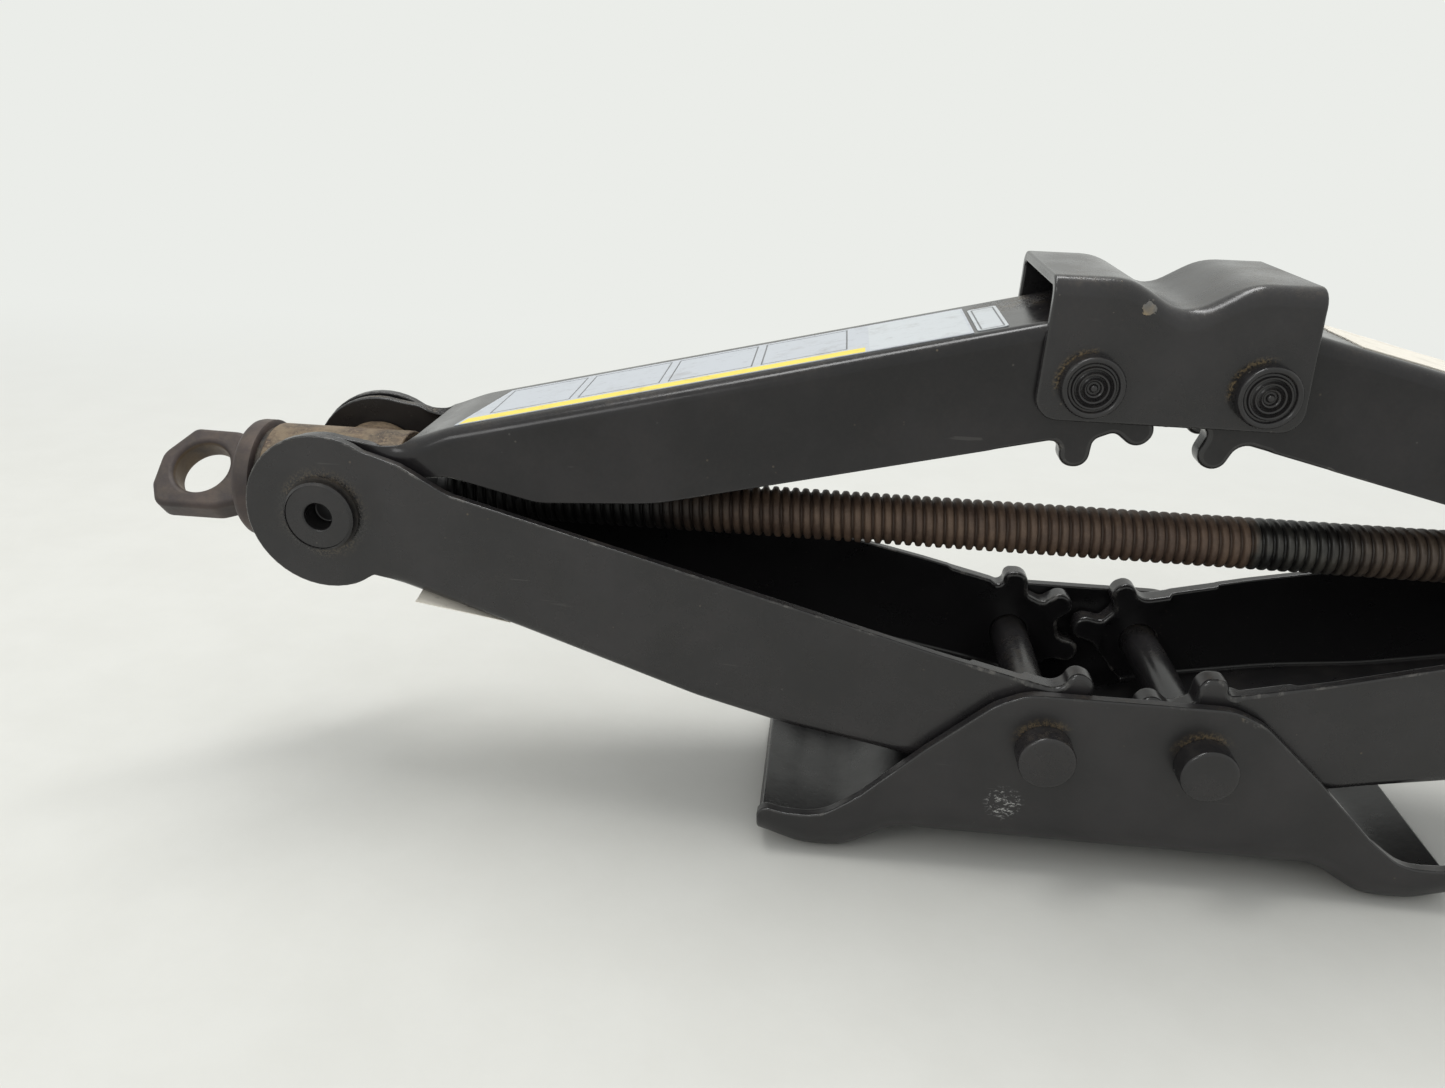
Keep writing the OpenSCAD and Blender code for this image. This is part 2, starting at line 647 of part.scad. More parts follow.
module drive_trunnion() {
    color([0.42, 0.33, 0.25]) placed() translate([-trunnion_x, 0, screw_z])
        trunnion(drive_boss_reach, boss_radius);
}
module nut_trunnion() {
    color([0.36, 0.3, 0.25]) placed() translate([trunnion_x, 0, screw_z])
        trunnion(nut_boss_reach, nut_boss_reach);
}
module drive_trunnion_washers() {
    color([0.15, 0.15, 0.16]) placed() translate([-trunnion_x, 0, screw_z]) trunnion_washers();
}
module nut_trunnion_washers() {
    color([0.15, 0.15, 0.16]) placed() translate([trunnion_x, 0, screw_z]) trunnion_washers();
}

// Screw turned about X: a plain shank through the drive trunnion, then the thread
module screw() {
    root = screw_radius - thread_depth;
    turns = floor((screw_end - shank_end) / thread_pitch) - 1;
    thread_end = shank_end + turns * thread_pitch;
    crest = [for (i = [0:turns - 1]) each [
        [root, shank_end + (i + thread_shares[0]) * thread_pitch],
        [screw_radius, shank_end + (i + thread_shares[0] + thread_shares[1]) * thread_pitch],
        [screw_radius, shank_end + (i + thread_shares[0] + thread_shares[1] + thread_shares[2])
            * thread_pitch],
        [root, shank_end + (i + 1) * thread_pitch]
    ]];
    profile = concat(
        [[0, screw_start], [screw_radius, screw_start], [screw_radius, shank_end], [root, shank_end]],
        crest, [[root, screw_end], [0, screw_end]]);
    color([0.3, 0.2, 0.15]) placed() translate([0, 0, screw_z]) difference() {
        rotate([0, 90, 0]) rotate_extrude() polygon(profile);
        translate([stop_x, 0, 0])
            bar(stop_pin_radius + running_gap, -screw_radius - cut_over, screw_radius + cut_over);
    }
}
// Forged eye that the crank hooks into, in one piece with its collar
module drive_eye() {
    reach = eye_front - collar_front;
    color([0.33, 0.27, 0.23]) placed() translate([0, 0, screw_z]) difference() {
        union() {
            rod(collar_radius - collar_length / 3, -collar_front, -collar_back);
            rod(collar_radius, -collar_front + collar_length / 3, -collar_back);
            rotate([0, 90, 0]) translate([0, 0, -collar_front])
                cylinder(r1 = collar_radius - collar_length / 3, r2 = collar_radius, h = collar_length / 3);
            rotate([-eye_roll, 0, 0]) across(-eye_thickness / 2, eye_thickness / 2)
                translate([-collar_front, 0]) mirror([1, 0]) union() {
                    polygon(smooth(scaled(eye_shares, reach, eye_half_height, eye_blends_share,
                        eye_half_height)));
                    translate([-collar_length / 3, -eye_shares[0][1] * eye_half_height])
                        square([2 * collar_length / 3, 2 * eye_shares[0][1] * eye_half_height]);
                }
        }
        rotate([-eye_roll, 0, 0]) translate([-trunnion_x - eye_reach, 0, 0])
            bar(eye_hole_radius, -eye_thickness, eye_thickness);
        rod(screw_radius + face_gap, -collar_back - shank_seat - face_gap, -collar_back + cut_over);
    }
}
module ring(r, hole, low, high) {
    difference() {
        rod(r, low, high);
        rod(hole, low - cut_over, high + cut_over);
    }
}
module thrust_washer() {
    start = -collar_back + face_gap;
    color([0.5, 0.48, 0.42]) placed() translate([0, 0, screw_z])
        ring(thrust_washer_radius, bore_radius, start, start + thrust_washer_sheet);
}
module retaining_ring() {
    start = -trunnion_x + boss_radius + face_gap;
    color([0.3, 0.28, 0.26]) placed() translate([0, 0, screw_z])
        ring(retainer_radius, screw_radius + face_gap, start, start + retainer_sheet);
}
module stop_washer() {
    high = stop_x - stop_pin_radius - face_gap;
    color([0.3, 0.28, 0.26]) placed() translate([0, 0, screw_z])
        ring(stop_washer_radius, screw_radius + face_gap, high - stop_washer_sheet, high);
}
module stop_pin() {
    color([0.4, 0.38, 0.36]) placed() translate([stop_x, 0, screw_z])
        bar(stop_pin_radius, -stop_washer_radius, stop_washer_radius);
}

// Labels lie flat on the webs, one blend in from the near edge
module sticker(start, length, near, width, height, round_share) {
    r = round_share * width;
    translate([0, 0, height]) linear_extrude(label_sheet) polygon(smooth([
        [start, near, r], [start + length, near, r],
        [start + length, near + width, r], [start, near + width, r]
    ]));
}
label_round_share = 0.06;
long_label_near = upper_half - arm_bend - label_width;
module long_label() {
    color([0.75, 0.77, 0.78]) placed() at_trunnion(-1, true)
        sticker(label_start, label_length, long_label_near, label_width, upper_web_rise, label_round_share);
}
module tag_label() {
    color([0.6, 0.61, 0.62]) placed() at_trunnion(-1, true)
        sticker(label_start + label_length + tag_gap, tag_length,
        upper_half - arm_bend - tag_width, tag_width, upper_web_rise, label_round_share);
}
module paper_label() {
    color([0.85, 0.84, 0.8]) placed() at_trunnion(1, true)
        sticker(arm_length - paper_start - paper_length, paper_length,
        -paper_width / 2, paper_width, upper_web_rise, label_round_share);
}
module under_label() {
    p = [lower_web_shares[0][0] * arm_length, lower_web_shares[0][1] * lower_web_drop];
    q = [lower_web_shares[1][0] * arm_length, lower_web_shares[1][1] * lower_web_drop];
    slope = atan2(q[1] - p[1], q[0] - p[0]);
    color([0.8, 0.8, 0.78]) placed() at_trunnion(-1, false) translate([p[0], 0, p[1]]) rotate([0, -slope, 0])
        sticker(arm_sheet, under_label_length, -under_label_width / 2, under_label_width, 0,
            label_round_share);
}

base();
base_rivet(-1);  // base_rivet_left
base_rivet(1);  // base_rivet_right
lower_arm(-1);  // lower_arm_left
lower_arm(1);  // lower_arm_right
upper_arm(-1);  // upper_arm_left
upper_arm(1);  // upper_arm_right
saddle();
saddle_rivet(-1);  // saddle_rivet_left
saddle_rivet(1);  // saddle_rivet_right
drive_trunnion();
drive_trunnion_washers();
nut_trunnion();
nut_trunnion_washers();
screw();
drive_eye();
thrust_washer();
retaining_ring();
stop_washer();
stop_pin();
long_label();
tag_label();
paper_label();
under_label();
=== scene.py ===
"""Looks of the scissor jack: black pressings, rusty screw and eye, bare labels, on a pale floor."""
import bisect
import json
from math import acos, atan2, ceil, copysign, cos, degrees, exp, hypot, pi, radians, sin, tan, tau
from types import SimpleNamespace

import bmesh
import bpy
from mathutils import Matrix, Vector, noise
from mathutils.geometry import delaunay_2d_cdt
from mathutils.kdtree import KDTree


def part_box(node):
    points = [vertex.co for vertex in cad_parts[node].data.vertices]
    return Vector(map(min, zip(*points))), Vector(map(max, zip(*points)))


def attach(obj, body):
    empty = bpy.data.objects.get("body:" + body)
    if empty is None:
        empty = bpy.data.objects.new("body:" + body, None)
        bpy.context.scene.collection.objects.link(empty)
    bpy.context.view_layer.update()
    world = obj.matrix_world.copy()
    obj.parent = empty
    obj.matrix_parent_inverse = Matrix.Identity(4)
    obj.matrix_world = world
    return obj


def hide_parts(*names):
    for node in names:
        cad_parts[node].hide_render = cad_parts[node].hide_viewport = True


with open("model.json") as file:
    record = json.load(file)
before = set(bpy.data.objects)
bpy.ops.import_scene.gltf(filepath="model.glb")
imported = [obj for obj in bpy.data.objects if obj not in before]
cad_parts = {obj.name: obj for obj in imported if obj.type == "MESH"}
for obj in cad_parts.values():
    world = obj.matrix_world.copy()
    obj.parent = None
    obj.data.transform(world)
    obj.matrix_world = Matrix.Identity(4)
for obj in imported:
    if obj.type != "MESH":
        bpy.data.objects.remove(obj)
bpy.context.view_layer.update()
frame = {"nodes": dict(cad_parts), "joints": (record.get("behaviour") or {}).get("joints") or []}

MM = 0.001
CAD = frame["nodes"]
PIVOT = {j["name"]: Vector(j["pos_m"]) for j in frame["joints"]}
DRIVE = PIVOT["drive_trunnion_level"]
NUT = PIVOT["nut_trunnion_level"]
BASE_PIN = PIVOT["lift"]
SADDLE_PIN = PIVOT["saddle_level"]
MIDDLE = (DRIVE.x + NUT.x) / 2

# Sizes that part.scad also has
SCREW_RADIUS = 6.35 * MM
THREAD_DEPTH = 1.25 * MM
THREAD_PITCH = 2.5 * MM
THREAD_START = 22 * MM
END_CHAMFER = 1.2 * MM
WEB_RISE = 14 * MM
LABEL_SHEET = 0.25 * MM
RIVET_RADIUS = 5 * MM
EAR_HALF = 18.6 * MM
EYE_REACH = 41.5 * MM
EYE_HOLE = 7.2 * MM
EYE_FRONT = 53.2 * MM
EYE_THICK = 7.5 * MM
EYE_HALF = 11.7 * MM
EYE_ROLL = radians(48.5)
COLLAR_RADIUS = 15.2 * MM
COLLAR_LENGTH = 5.5 * MM


def across_from(point):
    """The mirror image of a point at the jack's other end."""
    return Vector((2 * MIDDLE - point.x, point.y, point.z))


# materials
def plug(tree, socket, value):
    """Links or sets an input; None leaves it as it is."""
    if isinstance(value, bpy.types.NodeSocket):
        tree.links.new(value, socket)
    elif value is not None:
        socket.default_value = value


def add_node(tree, kind, *values, **settings):
    """A new node, its inputs filled in order."""
    made = tree.nodes.new(kind)
    for key, value in settings.items():
        setattr(made, key, value)
    for socket, value in zip(made.inputs, values):
        plug(tree, socket, value)
    return made


class Shader:
    """A node material that is built from left to right."""

    def __init__(self, name):
        self.material = bpy.data.materials.new(name)
        self.material.use_nodes = True
        self.tree = self.material.node_tree
        self.tree.nodes.clear()
        self.out = self.tree.nodes.new("ShaderNodeOutputMaterial")
        self.surface = self.node("ShaderNodeBsdfPrincipled")
        self.put(self.out.inputs[0], self.surface.outputs[0])
        self.coords = self.node("ShaderNodeTexCoord").outputs["Object"]

    def put(self, socket, value):
        plug(self.tree, socket, value)

    def node(self, kind, *values, **settings):
        return add_node(self.tree, kind, *values, **settings)

    def math(self, operation, a, b=None, c=None, clamp=False):
        return self.node("ShaderNodeMath", a, b, c, operation=operation, use_clamp=clamp).outputs[0]

    def times(self, a, b):
        return self.math("MULTIPLY", a, b)

    def vector(self, operation, a, b=None):
        made = self.node("ShaderNodeVectorMath", a, b, operation=operation)
        return made.outputs[1] if operation in ("LENGTH", "DISTANCE", "DOT_PRODUCT") else made.outputs[0]

    def noise(self, size, detail=3.0, rough=0.55, coords=None, distortion=0.0):
        """Noise with features of about size millimetres."""
        made = self.node("ShaderNodeTexNoise", coords or self.coords)
        made.inputs["Scale"].default_value = 1 / (size * MM)
        made.inputs["Detail"].default_value = detail
        made.inputs["Roughness"].default_value = rough
        made.inputs["Distortion"].default_value = distortion
        return made.outputs[0]

    def cells(self, size):
        """How far the nearest of many scattered points is, which lie about size millimetres apart."""
        made = self.node("ShaderNodeTexVoronoi", self.coords)
        made.inputs["Scale"].default_value = 1 / (size * MM)
        return made.outputs["Distance"]

    def stretched(self, x, y, z):
        """Coordinates drawn out so that features run along the small axes."""
        return self.vector("MULTIPLY", self.coords, (x, y, z))

    def ramp(self, value, low, high):
        """0 at low, 1 at high, eased between them."""
        made = self.node("ShaderNodeMapRange", value, low, high, interpolation_type="SMOOTHSTEP")
        return made.outputs[0]

    def mix(self, share, a, b):
        made = self.node("ShaderNodeMix", data_type="RGBA")
        self.put(made.inputs[0], share)
        self.put(made.inputs[6], a)
        self.put(made.inputs[7], b)
        return made.outputs[2]

    def most(self, *values):
        total = values[0]
        for value in values[1:]:
            total = self.math("MAXIMUM", total, value)
        return total

    def up(self):
        """How far the surface faces upwards, from 0 to 1."""
        normal = self.node("ShaderNodeNewGeometry").outputs["Normal"]
        return self.math("MAXIMUM", self.node("ShaderNodeSeparateXYZ", normal).outputs[2], 0.0)

    def near(self, point, radius, soft):
        """1 within radius of a point, falling to 0 over soft."""
        away = self.vector("DISTANCE", self.coords, tuple(point))
        return self.ramp(away, radius + soft, radius)

    def crescent(self, point, radius, width, lean):
        """1 at a circle round the point, on the side of it that lean points to, falling to 0 over width."""
        side = self.vector("DOT_PRODUCT", self.vector("SUBTRACT", self.coords, tuple(point)), lean)
        facing = self.ramp(side, 0.45 * radius, 0.95 * radius)
        return self.times(self.near(point, radius, width), facing)

    def bump(self, height, distance, strength, below=None):
        """Bumps up to distance millimetres high, on top of those of below."""
        made = self.node("ShaderNodeBump")
        made.inputs["Strength"].default_value = strength
        made.inputs["Distance"].default_value = distance * MM
        self.put(made.inputs["Height"], height)
        self.put(made.inputs["Normal"], below)
        return made.outputs[0]

    def finish(self, color, roughness, normal, metallic=0.0, specular=0.5):
        inputs = self.surface.inputs
        self.put(inputs["Base Color"], color)
        self.put(inputs["Roughness"], roughness)
        self.put(inputs["Metallic"], metallic)
        self.put(inputs["Specular IOR Level"], specular)
        self.put(inputs["Normal"], normal)
        return self.material


def rgb(r, g, b):
    """A colour given as it looks on screen, from 0 to 255."""
    shares = [c / 255 for c in (r, g, b)]
    return tuple(c / 12.92 if c <= 0.04045 else ((c + 0.055) / 1.055) ** 2.4 for c in shares) + (1.0,)


PAINT_BLACK = rgb(39, 37, 38)
PAINT_DEEP = rgb(27, 26, 27)
DUST_TAN = rgb(146, 130, 104)
DUST_GREY = rgb(104, 102, 98)
BARE_STEEL = rgb(168, 168, 166)
GRIT_GOLD = rgb(132, 114, 84)
RUST_DARK = rgb(48, 38, 32)
RUST_LIGHT = rgb(84, 64, 48)


def black_paint(name, gloss=0.3, dust=0.3, spots=(), marks=(), arcs=(), shine=0.5):
    """Semi-gloss black paint with a film of dust, a few scratches and dirt at the given spots.

    spots: (point, radius, soft, amount) for gritty dust; marks: (point, radius) for bare scuffs;
    arcs: (point, radius, width, lean, amount) for golden grit caught along one side of a rivet's head."""
    s = Shader(name)
    cloud = s.noise(26, 5, 0.6)
    fine = s.noise(1.1, 4, 0.7)
    grain = s.noise(0.45, 2, 0.6)
    speckle = s.noise(0.7, 5, 0.85)
    shade = s.mix(s.ramp(cloud, 0.35, 0.7), PAINT_DEEP, PAINT_BLACK)
    # Dust lies in clouds on what faces up, and as sparse specks everywhere
    lying = s.times(s.ramp(s.up(), 0.3, 1.0), s.ramp(cloud, 0.3, 0.75))
    thin = s.times(s.math("MULTIPLY_ADD", lying, 0.5, 0.05), s.ramp(fine, 0.35, 0.7))
    specks = s.times(s.ramp(s.cells(3.1), 0.12, 0.05), s.ramp(s.noise(9, 2), 0.54, 0.66))
    total = s.most(s.times(thin, dust), s.times(specks, min(1.0, 1.1 * dust)))
    for point, radius, soft, amount in spots:
        ragged = s.times(s.near(point, radius, soft), s.ramp(grain, 0.42, 0.62))
        if amount > 0.9:
            ragged = s.ramp(s.math("MULTIPLY_ADD", fine, 1.8, s.near(point, radius, soft)), 1.3, 1.42)
        total = s.most(total, s.times(ragged, amount))
    dusty = s.mix(s.ramp(s.noise(6, 3), 0.4, 0.62), DUST_GREY, DUST_TAN)
    color = s.mix(total, shade, dusty)
    for point, radius, width, lean, amount in arcs:
        ragged = s.times(s.crescent(point, radius, width, lean), s.ramp(speckle, 0.46, 0.58))
        color = s.mix(s.times(ragged, amount), color, GRIT_GOLD)
    # Hairline scratches that run with the pressing
    lines = s.noise(1.2, 2, 0.5, s.stretched(0.05, 0.6, 1.0), 0.2)
    hair = s.times(s.ramp(lines, 0.69, 0.72), s.ramp(s.noise(19, 2), 0.56, 0.66))
    color = s.mix(s.times(hair, 0.2), color, DUST_GREY)
    metallic = 0.0
    for point, radius in marks:
        worn = s.ramp(s.noise(0.7, 4, 0.75, s.stretched(0.6, 1, 1.3)), 0.55, 0.6)
        bare = s.times(s.near(point, radius * 0.55, radius * 0.6), worn)
        color = s.mix(bare, color, BARE_STEEL)
        metallic = s.most(metallic, s.times(bare, 0.6))
    roughness = s.math("MULTIPLY_ADD", s.ramp(s.noise(12, 4), 0.3, 0.75), 0.1, gloss)
    roughness = s.math("ADD", roughness, s.times(total, 0.5), clamp=True)
    skin = s.bump(s.noise(2.2, 2, 0.5), 0.04, 0.25)
    waves = s.bump(s.noise(34, 2, 0.5), 0.5, 0.2, skin)
    grit = s.bump(s.times(total, grain), 0.25, 0.8, waves)
    return s.finish(color, roughness, grit, metallic, shine)


def worn_edge(name, amount=0.3):
    """Paint thinned along a sheared edge, dusty and rubbed through in places."""
    s = Shader(name)
    patch = s.ramp(s.noise(7, 4, 0.7), 0.66 - 0.4 * amount, 0.8 - 0.3 * amount)
    fine = s.ramp(s.noise(1.6, 3, 0.7), 0.3, 0.66)
    rubbed = s.times(patch, fine)
    color = s.mix(s.times(rubbed, 0.15 + 0.5 * amount), rgb(38, 37, 37), rgb(132, 128, 121))
    roughness = s.math("MULTIPLY_ADD", rubbed, 0.2, 0.2)
    return s.finish(color, roughness, s.bump(s.noise(1.3, 3), 0.06, 0.5))


def shaded_inside_paint(name):
    """Paint of the pressings' insides: dull and dusty, its black painted darker than the outer paint as
    painted shade inside the channels.
    """
    s = Shader(name)
    fine = s.noise(0.8, 4, 0.7)
    lying = s.times(s.ramp(s.up(), 0.2, 0.9), s.ramp(s.noise(9, 5, 0.65), 0.4, 0.7))
    specks = s.times(s.ramp(s.cells(1.7), 0.2, 0.08), s.ramp(s.noise(7, 3), 0.5, 0.64))
    total = s.most(s.times(lying, s.times(fine, 0.12)), s.times(specks, 0.16))
    # Painted shade: the insides' black is darker than the outer paint; the light specks are real dust
    color = s.mix(total, rgb(25, 24, 25), rgb(112, 106, 97))
    roughness = s.math("MULTIPLY_ADD", s.noise(8, 4), 0.2, 0.2)
    return s.finish(color, roughness, s.bump(s.noise(1.8, 3), 0.08, 0.5))


def rusty_steel(name, light=RUST_LIGHT, dark=RUST_DARK, dusty=0.3, size=3.0, bores=(), speckled=0.0):
    """Brown oxide over forged or turned steel. bores: (point, radius) of rustier spots."""
    s = Shader(name)
    cloud = s.noise(size * 3, 5, 0.65)
    fine = s.noise(size * 0.3, 4, 0.7)
    color = s.mix(s.ramp(cloud, 0.35, 0.68), dark, light)
    color = s.mix(s.times(s.ramp(fine, 0.5, 0.7), 0.3), color, rgb(82, 70, 60))
    for point, radius in bores:
        color = s.mix(s.times(s.near(point, radius, 0.5 * MM), s.ramp(cloud, 0.2, 0.6)), color,
                      rgb(98, 82, 62))
    film = s.times(s.ramp(s.up(), 0.1, 0.9), s.ramp(s.noise(5, 4, 0.7), 0.35, 0.65))
    film = s.times(film, dusty)
    if speckled:
        film = s.most(film, s.times(s.ramp(s.noise(0.7, 4, 0.8), 0.5, 0.6), speckled))
    color = s.mix(film, color, rgb(148, 130, 102))
    pits = s.math("MULTIPLY_ADD", s.cells(1.4), 0.5, s.times(fine, 0.6))
    return s.finish(color, s.math("MULTIPLY_ADD", fine, 0.25, 0.42), s.bump(pits, 0.14, 0.5), 0.2)


def screw_steel(name):
    """Thread: painted shade by the drive end, brown rust along the middle, black with grease towards the nut.
    """
    s = Shader(name)
    x, y, z = s.node("ShaderNodeSeparateXYZ", s.coords).outputs[:]
    rise = s.math("SUBTRACT", z, DRIVE.z)
    away = s.math("SQRT", s.math("ADD", s.times(y, y), s.times(rise, rise)))
    crest = s.ramp(away, SCREW_RADIUS - THREAD_DEPTH, SCREW_RADIUS - 0.1 * THREAD_DEPTH)
    cloud = s.noise(9, 5, 0.7)
    fine = s.noise(0.7, 4, 0.7)
    rust = s.mix(s.ramp(cloud, 0.35, 0.7), rgb(74, 58, 48), rgb(104, 84, 68))
    rust = s.mix(s.times(s.ramp(fine, 0.5, 0.7), 0.4), rust, rgb(112, 96, 80))
    rust = s.mix(crest, rgb(66, 53, 45), rust)
    # Painted shade: by the drive end the thread is painted near black, for the shade it lies in between the
    # arms
    shade = s.ramp(s.math("ADD", x, s.times(cloud, 8 * MM)), MIDDLE - 118 * MM, MIDDLE - 76 * MM)
    rust = s.mix(shade, s.mix(crest, rgb(6, 6, 6), rgb(13, 12, 11)), rust)
    grease = s.mix(s.times(crest, s.ramp(cloud, 0.3, 0.7)), rgb(22, 22, 22), rgb(66, 64, 59))
    edge = s.math("ADD", x, s.times(s.noise(4, 3), 4 * MM))
    drier = s.math("MULTIPLY_ADD", s.ramp(edge, MIDDLE + 46 * MM, MIDDLE + 66 * MM), -0.5, 1.0)
    wet = s.times(s.ramp(edge, MIDDLE + 30 * MM, MIDDLE + 33 * MM), drier)
    color = s.mix(wet, rust, grease)
    roughness = s.math("SUBTRACT", s.math("MULTIPLY_ADD", fine, 0.25, 0.42), s.times(wet, 0.2))
    return s.finish(color, roughness, s.bump(fine, 0.1, 0.6), 0.2)


def film(name, ground, dull=0.0):
    """Printed film or paper, a little dirty and scuffed."""
    s = Shader(name)
    dirt = s.times(s.ramp(s.noise(8, 5, 0.7), 0.5, 0.75), 0.3)
    color = s.mix(dirt, ground, rgb(118, 110, 98))
    rub = s.times(s.ramp(s.noise(1.0, 3, 0.7, s.stretched(0.2, 1.0, 1.0)), 0.6, 0.68), 0.25)
    color = s.mix(rub, color, rgb(92, 90, 88))
    roughness = s.math("MULTIPLY_ADD", dirt, 0.5, 0.38 + dull)
    return s.finish(color, roughness, s.bump(s.noise(5, 3), 0.1, 0.4))


def head_dust(center, y, radius, width, lean, amount):
    """Grit caught along one side of the rivet heads on the near wall."""
    return [(Vector((p.x, y, p.z)), radius, width, lean, amount) for p in (center, across_from(center))]


def at(x, y, z):
    """A place in millimetres from the floor under the base's middle."""
    return Vector((MIDDLE + x * MM, y * MM, z * MM))


HALF_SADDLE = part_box("saddle")[1].y
HALF_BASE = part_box("base")[1].y
DUST_ON_ARM = [(DRIVE + Vector((6, 17, 10)) * MM, 9 * MM, 8 * MM, 0.5),
               (at(-32, 10, 130), 5 * MM, 6 * MM, 0.4)]
EAR_HALO = [(DRIVE + Vector((0, -22.2, 0)) * MM, 8.4 * MM, 4.5 * MM, 0.26)]
BASE_SCUFF = [(at(-25.3, -34, 20.5), 4.6 * MM)]
WALL_RUBS = [(at(x, -34, z), 0.5 * MM, 1.1 * MM, 0.8)
             for x, z in ((25.5, 48.6), (28, 47.6), (44, 35.2), (48, 31.6))]
SADDLE_CHIP = [(at(-8.6, -22.5, 136.8), 0.5 * MM, 1.7 * MM, 0.95)]
PAINT = {
    "base": black_paint("base_paint", 0.32, 0.22, WALL_RUBS, BASE_SCUFF,
                        head_dust(BASE_PIN, -HALF_BASE, 6.5 * MM, 2.6 * MM, (-0.25, 0, 0.97), 0.6)),
    "lower": black_paint("lower_arm_paint", 0.22, 0.22, EAR_HALO),
    "upper": black_paint("upper_arm_paint", 0.15, 0.22, DUST_ON_ARM, shine=0.36),
    "saddle": black_paint("saddle_paint", 0.19, 0.25, SADDLE_CHIP, (),
                          head_dust(SADDLE_PIN, -HALF_SADDLE, 6.8 * MM, 1.7 * MM, (-0.75, 0, 0.66), 0.8)),
    "rivet": black_paint("rivet_paint", 0.2, 0.3),
    "journal": black_paint("journal_paint", 0.2, 0.25),
}
EDGE = worn_edge("edge_wear", 0.3)
OPEN_EDGE = worn_edge("open_edge_wear", 0.45)
# Painted shade: the pressings' insides and the journal bores get a darker black that stands for their shade
INSIDE_SHADE = shaded_inside_paint("shaded_inside_paint")
RUST = rusty_steel("trunnion_rust", dusty=0.5, speckled=0.55)
FORGED = rusty_steel("forged_rust", rgb(74, 62, 58), rgb(52, 45, 44), 0.1, 4.0,
                     [(DRIVE - Vector((EYE_REACH, 0, 0)), EYE_HOLE + 0.6 * MM)])
WASHER = rusty_steel("washer_steel", rgb(58, 54, 50), rgb(32, 30, 29), 0.12, 2.0)
THREAD = screw_steel("screw_steel")
FILM_GREY = film("label_grey", rgb(176, 180, 184))
FILM_PALE = film("label_pale", rgb(184, 188, 189))
FILM_YELLOW = film("label_yellow", rgb(226, 204, 62))
FILM_LINE = film("label_line", rgb(88, 90, 92))
PAPER = film("label_paper", rgb(222, 216, 202), 0.25)


# meshes
def to_object(name, data):
    made = bpy.data.objects.new(name, data)
    bpy.context.scene.collection.objects.link(made)
    return made


def from_work(name, work, *materials, smooth=False):
    """The object that a bmesh comes to."""
    mesh = bpy.data.meshes.new(name)
    work.to_mesh(mesh)
    work.free()
    for material in materials:
        mesh.materials.append(material)
    if smooth:
        mesh.polygons.foreach_set("use_smooth", [True] * len(mesh.polygons))
    return to_object(name, mesh)


def applied(made):
    """The object with its modifiers worked into its mesh."""
    bpy.context.view_layer.update()
    graph = bpy.context.evaluated_depsgraph_get()
    mesh = bpy.data.meshes.new_from_object(made.evaluated_get(graph))
    made.modifiers.clear()
    made.data = mesh
    return made


def own(made, body, slot, *nodes):
    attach(made, body)
    if nodes:
        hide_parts(*nodes)
    return made


def softened(node, name, width, paint, edge):
    """The CAD node's shape with its sharp edges rolled over, as a pressing or forging has them."""
    work = bmesh.new()
    work.from_mesh(CAD[node].data)
    for face in work.faces:
        face.material_index = 0
    bmesh.ops.remove_doubles(work, verts=work.verts, dist=0.002 * MM)
    bmesh.ops.dissolve_limit(work, angle_limit=radians(0.5), verts=work.verts, edges=work.edges)
    made = from_work(name, work, paint, edge)
    bevel = made.modifiers.new("bevel", "BEVEL")
    bevel.limit_method = "ANGLE"
    bevel.angle_limit = radians(35)
    bevel.width = width
    bevel.segments = 3
    bevel.use_clamp_overlap = False
    bevel.loop_slide = True
    bevel.material = 1
    made = applied(made)
    made.data.polygons.foreach_set("use_smooth", [True] * len(made.data.polygons))
    made.data.set_sharp_from_angle(angle=radians(42))
    weighted = made.modifiers.new("normals", "WEIGHTED_NORMAL")
    weighted.keep_sharp = True
    return applied(made)


def lathe(name, profile, origin, axis, material, turns=72):
    """A turned piece: profile points (radius, height) about an axis through origin."""
    work = bmesh.new()
    rings = []
    upright = Vector(axis).to_track_quat("Z", "Y").to_matrix()
    for radius, height in profile:
        ring = [polar(radius, tau * i / turns) for i in range(turns if radius else 1)]
        rings.append([work.verts.new(Vector(origin) + upright @ Vector((*p, height))) for p in ring])
    for a, b in zip(rings, rings[1:]):
        for i in range(turns):
            corners = [a[i % len(a)], a[(i + 1) % turns % len(a)], b[(i + 1) % turns % len(b)], b[i % len(b)]]
            corners = [v for n, v in enumerate(corners) if v not in corners[:n]]
            if len(corners) > 2:
                work.faces.new(corners)
    bmesh.ops.recalc_face_normals(work, faces=work.faces)
    made = from_work(name, work, material, smooth=True)
    made.data.set_sharp_from_angle(angle=radians(50))
    return made


def scaled(shares, radius, height):
    """A turned outline from its shares of radius and height."""
    return [(r * radius, h * height) for r, h in shares]


def joined(name, *parts):
    """Several meshes as one piece."""
    work = bmesh.new()
    materials = []
    for part in parts:
        start = len(work.faces)
        work.from_mesh(part.data)
        work.faces.ensure_lookup_table()
        for face in work.faces[start:]:
            material = part.data.materials[face.material_index]
            if material not in materials:
                materials.append(material)
            face.material_index = materials.index(material)
    for part in parts:
        bpy.data.objects.remove(part)
    return from_work(name, work, *materials)


def polar(radius, angle):
    return Vector((radius * cos(angle), radius * sin(angle)))


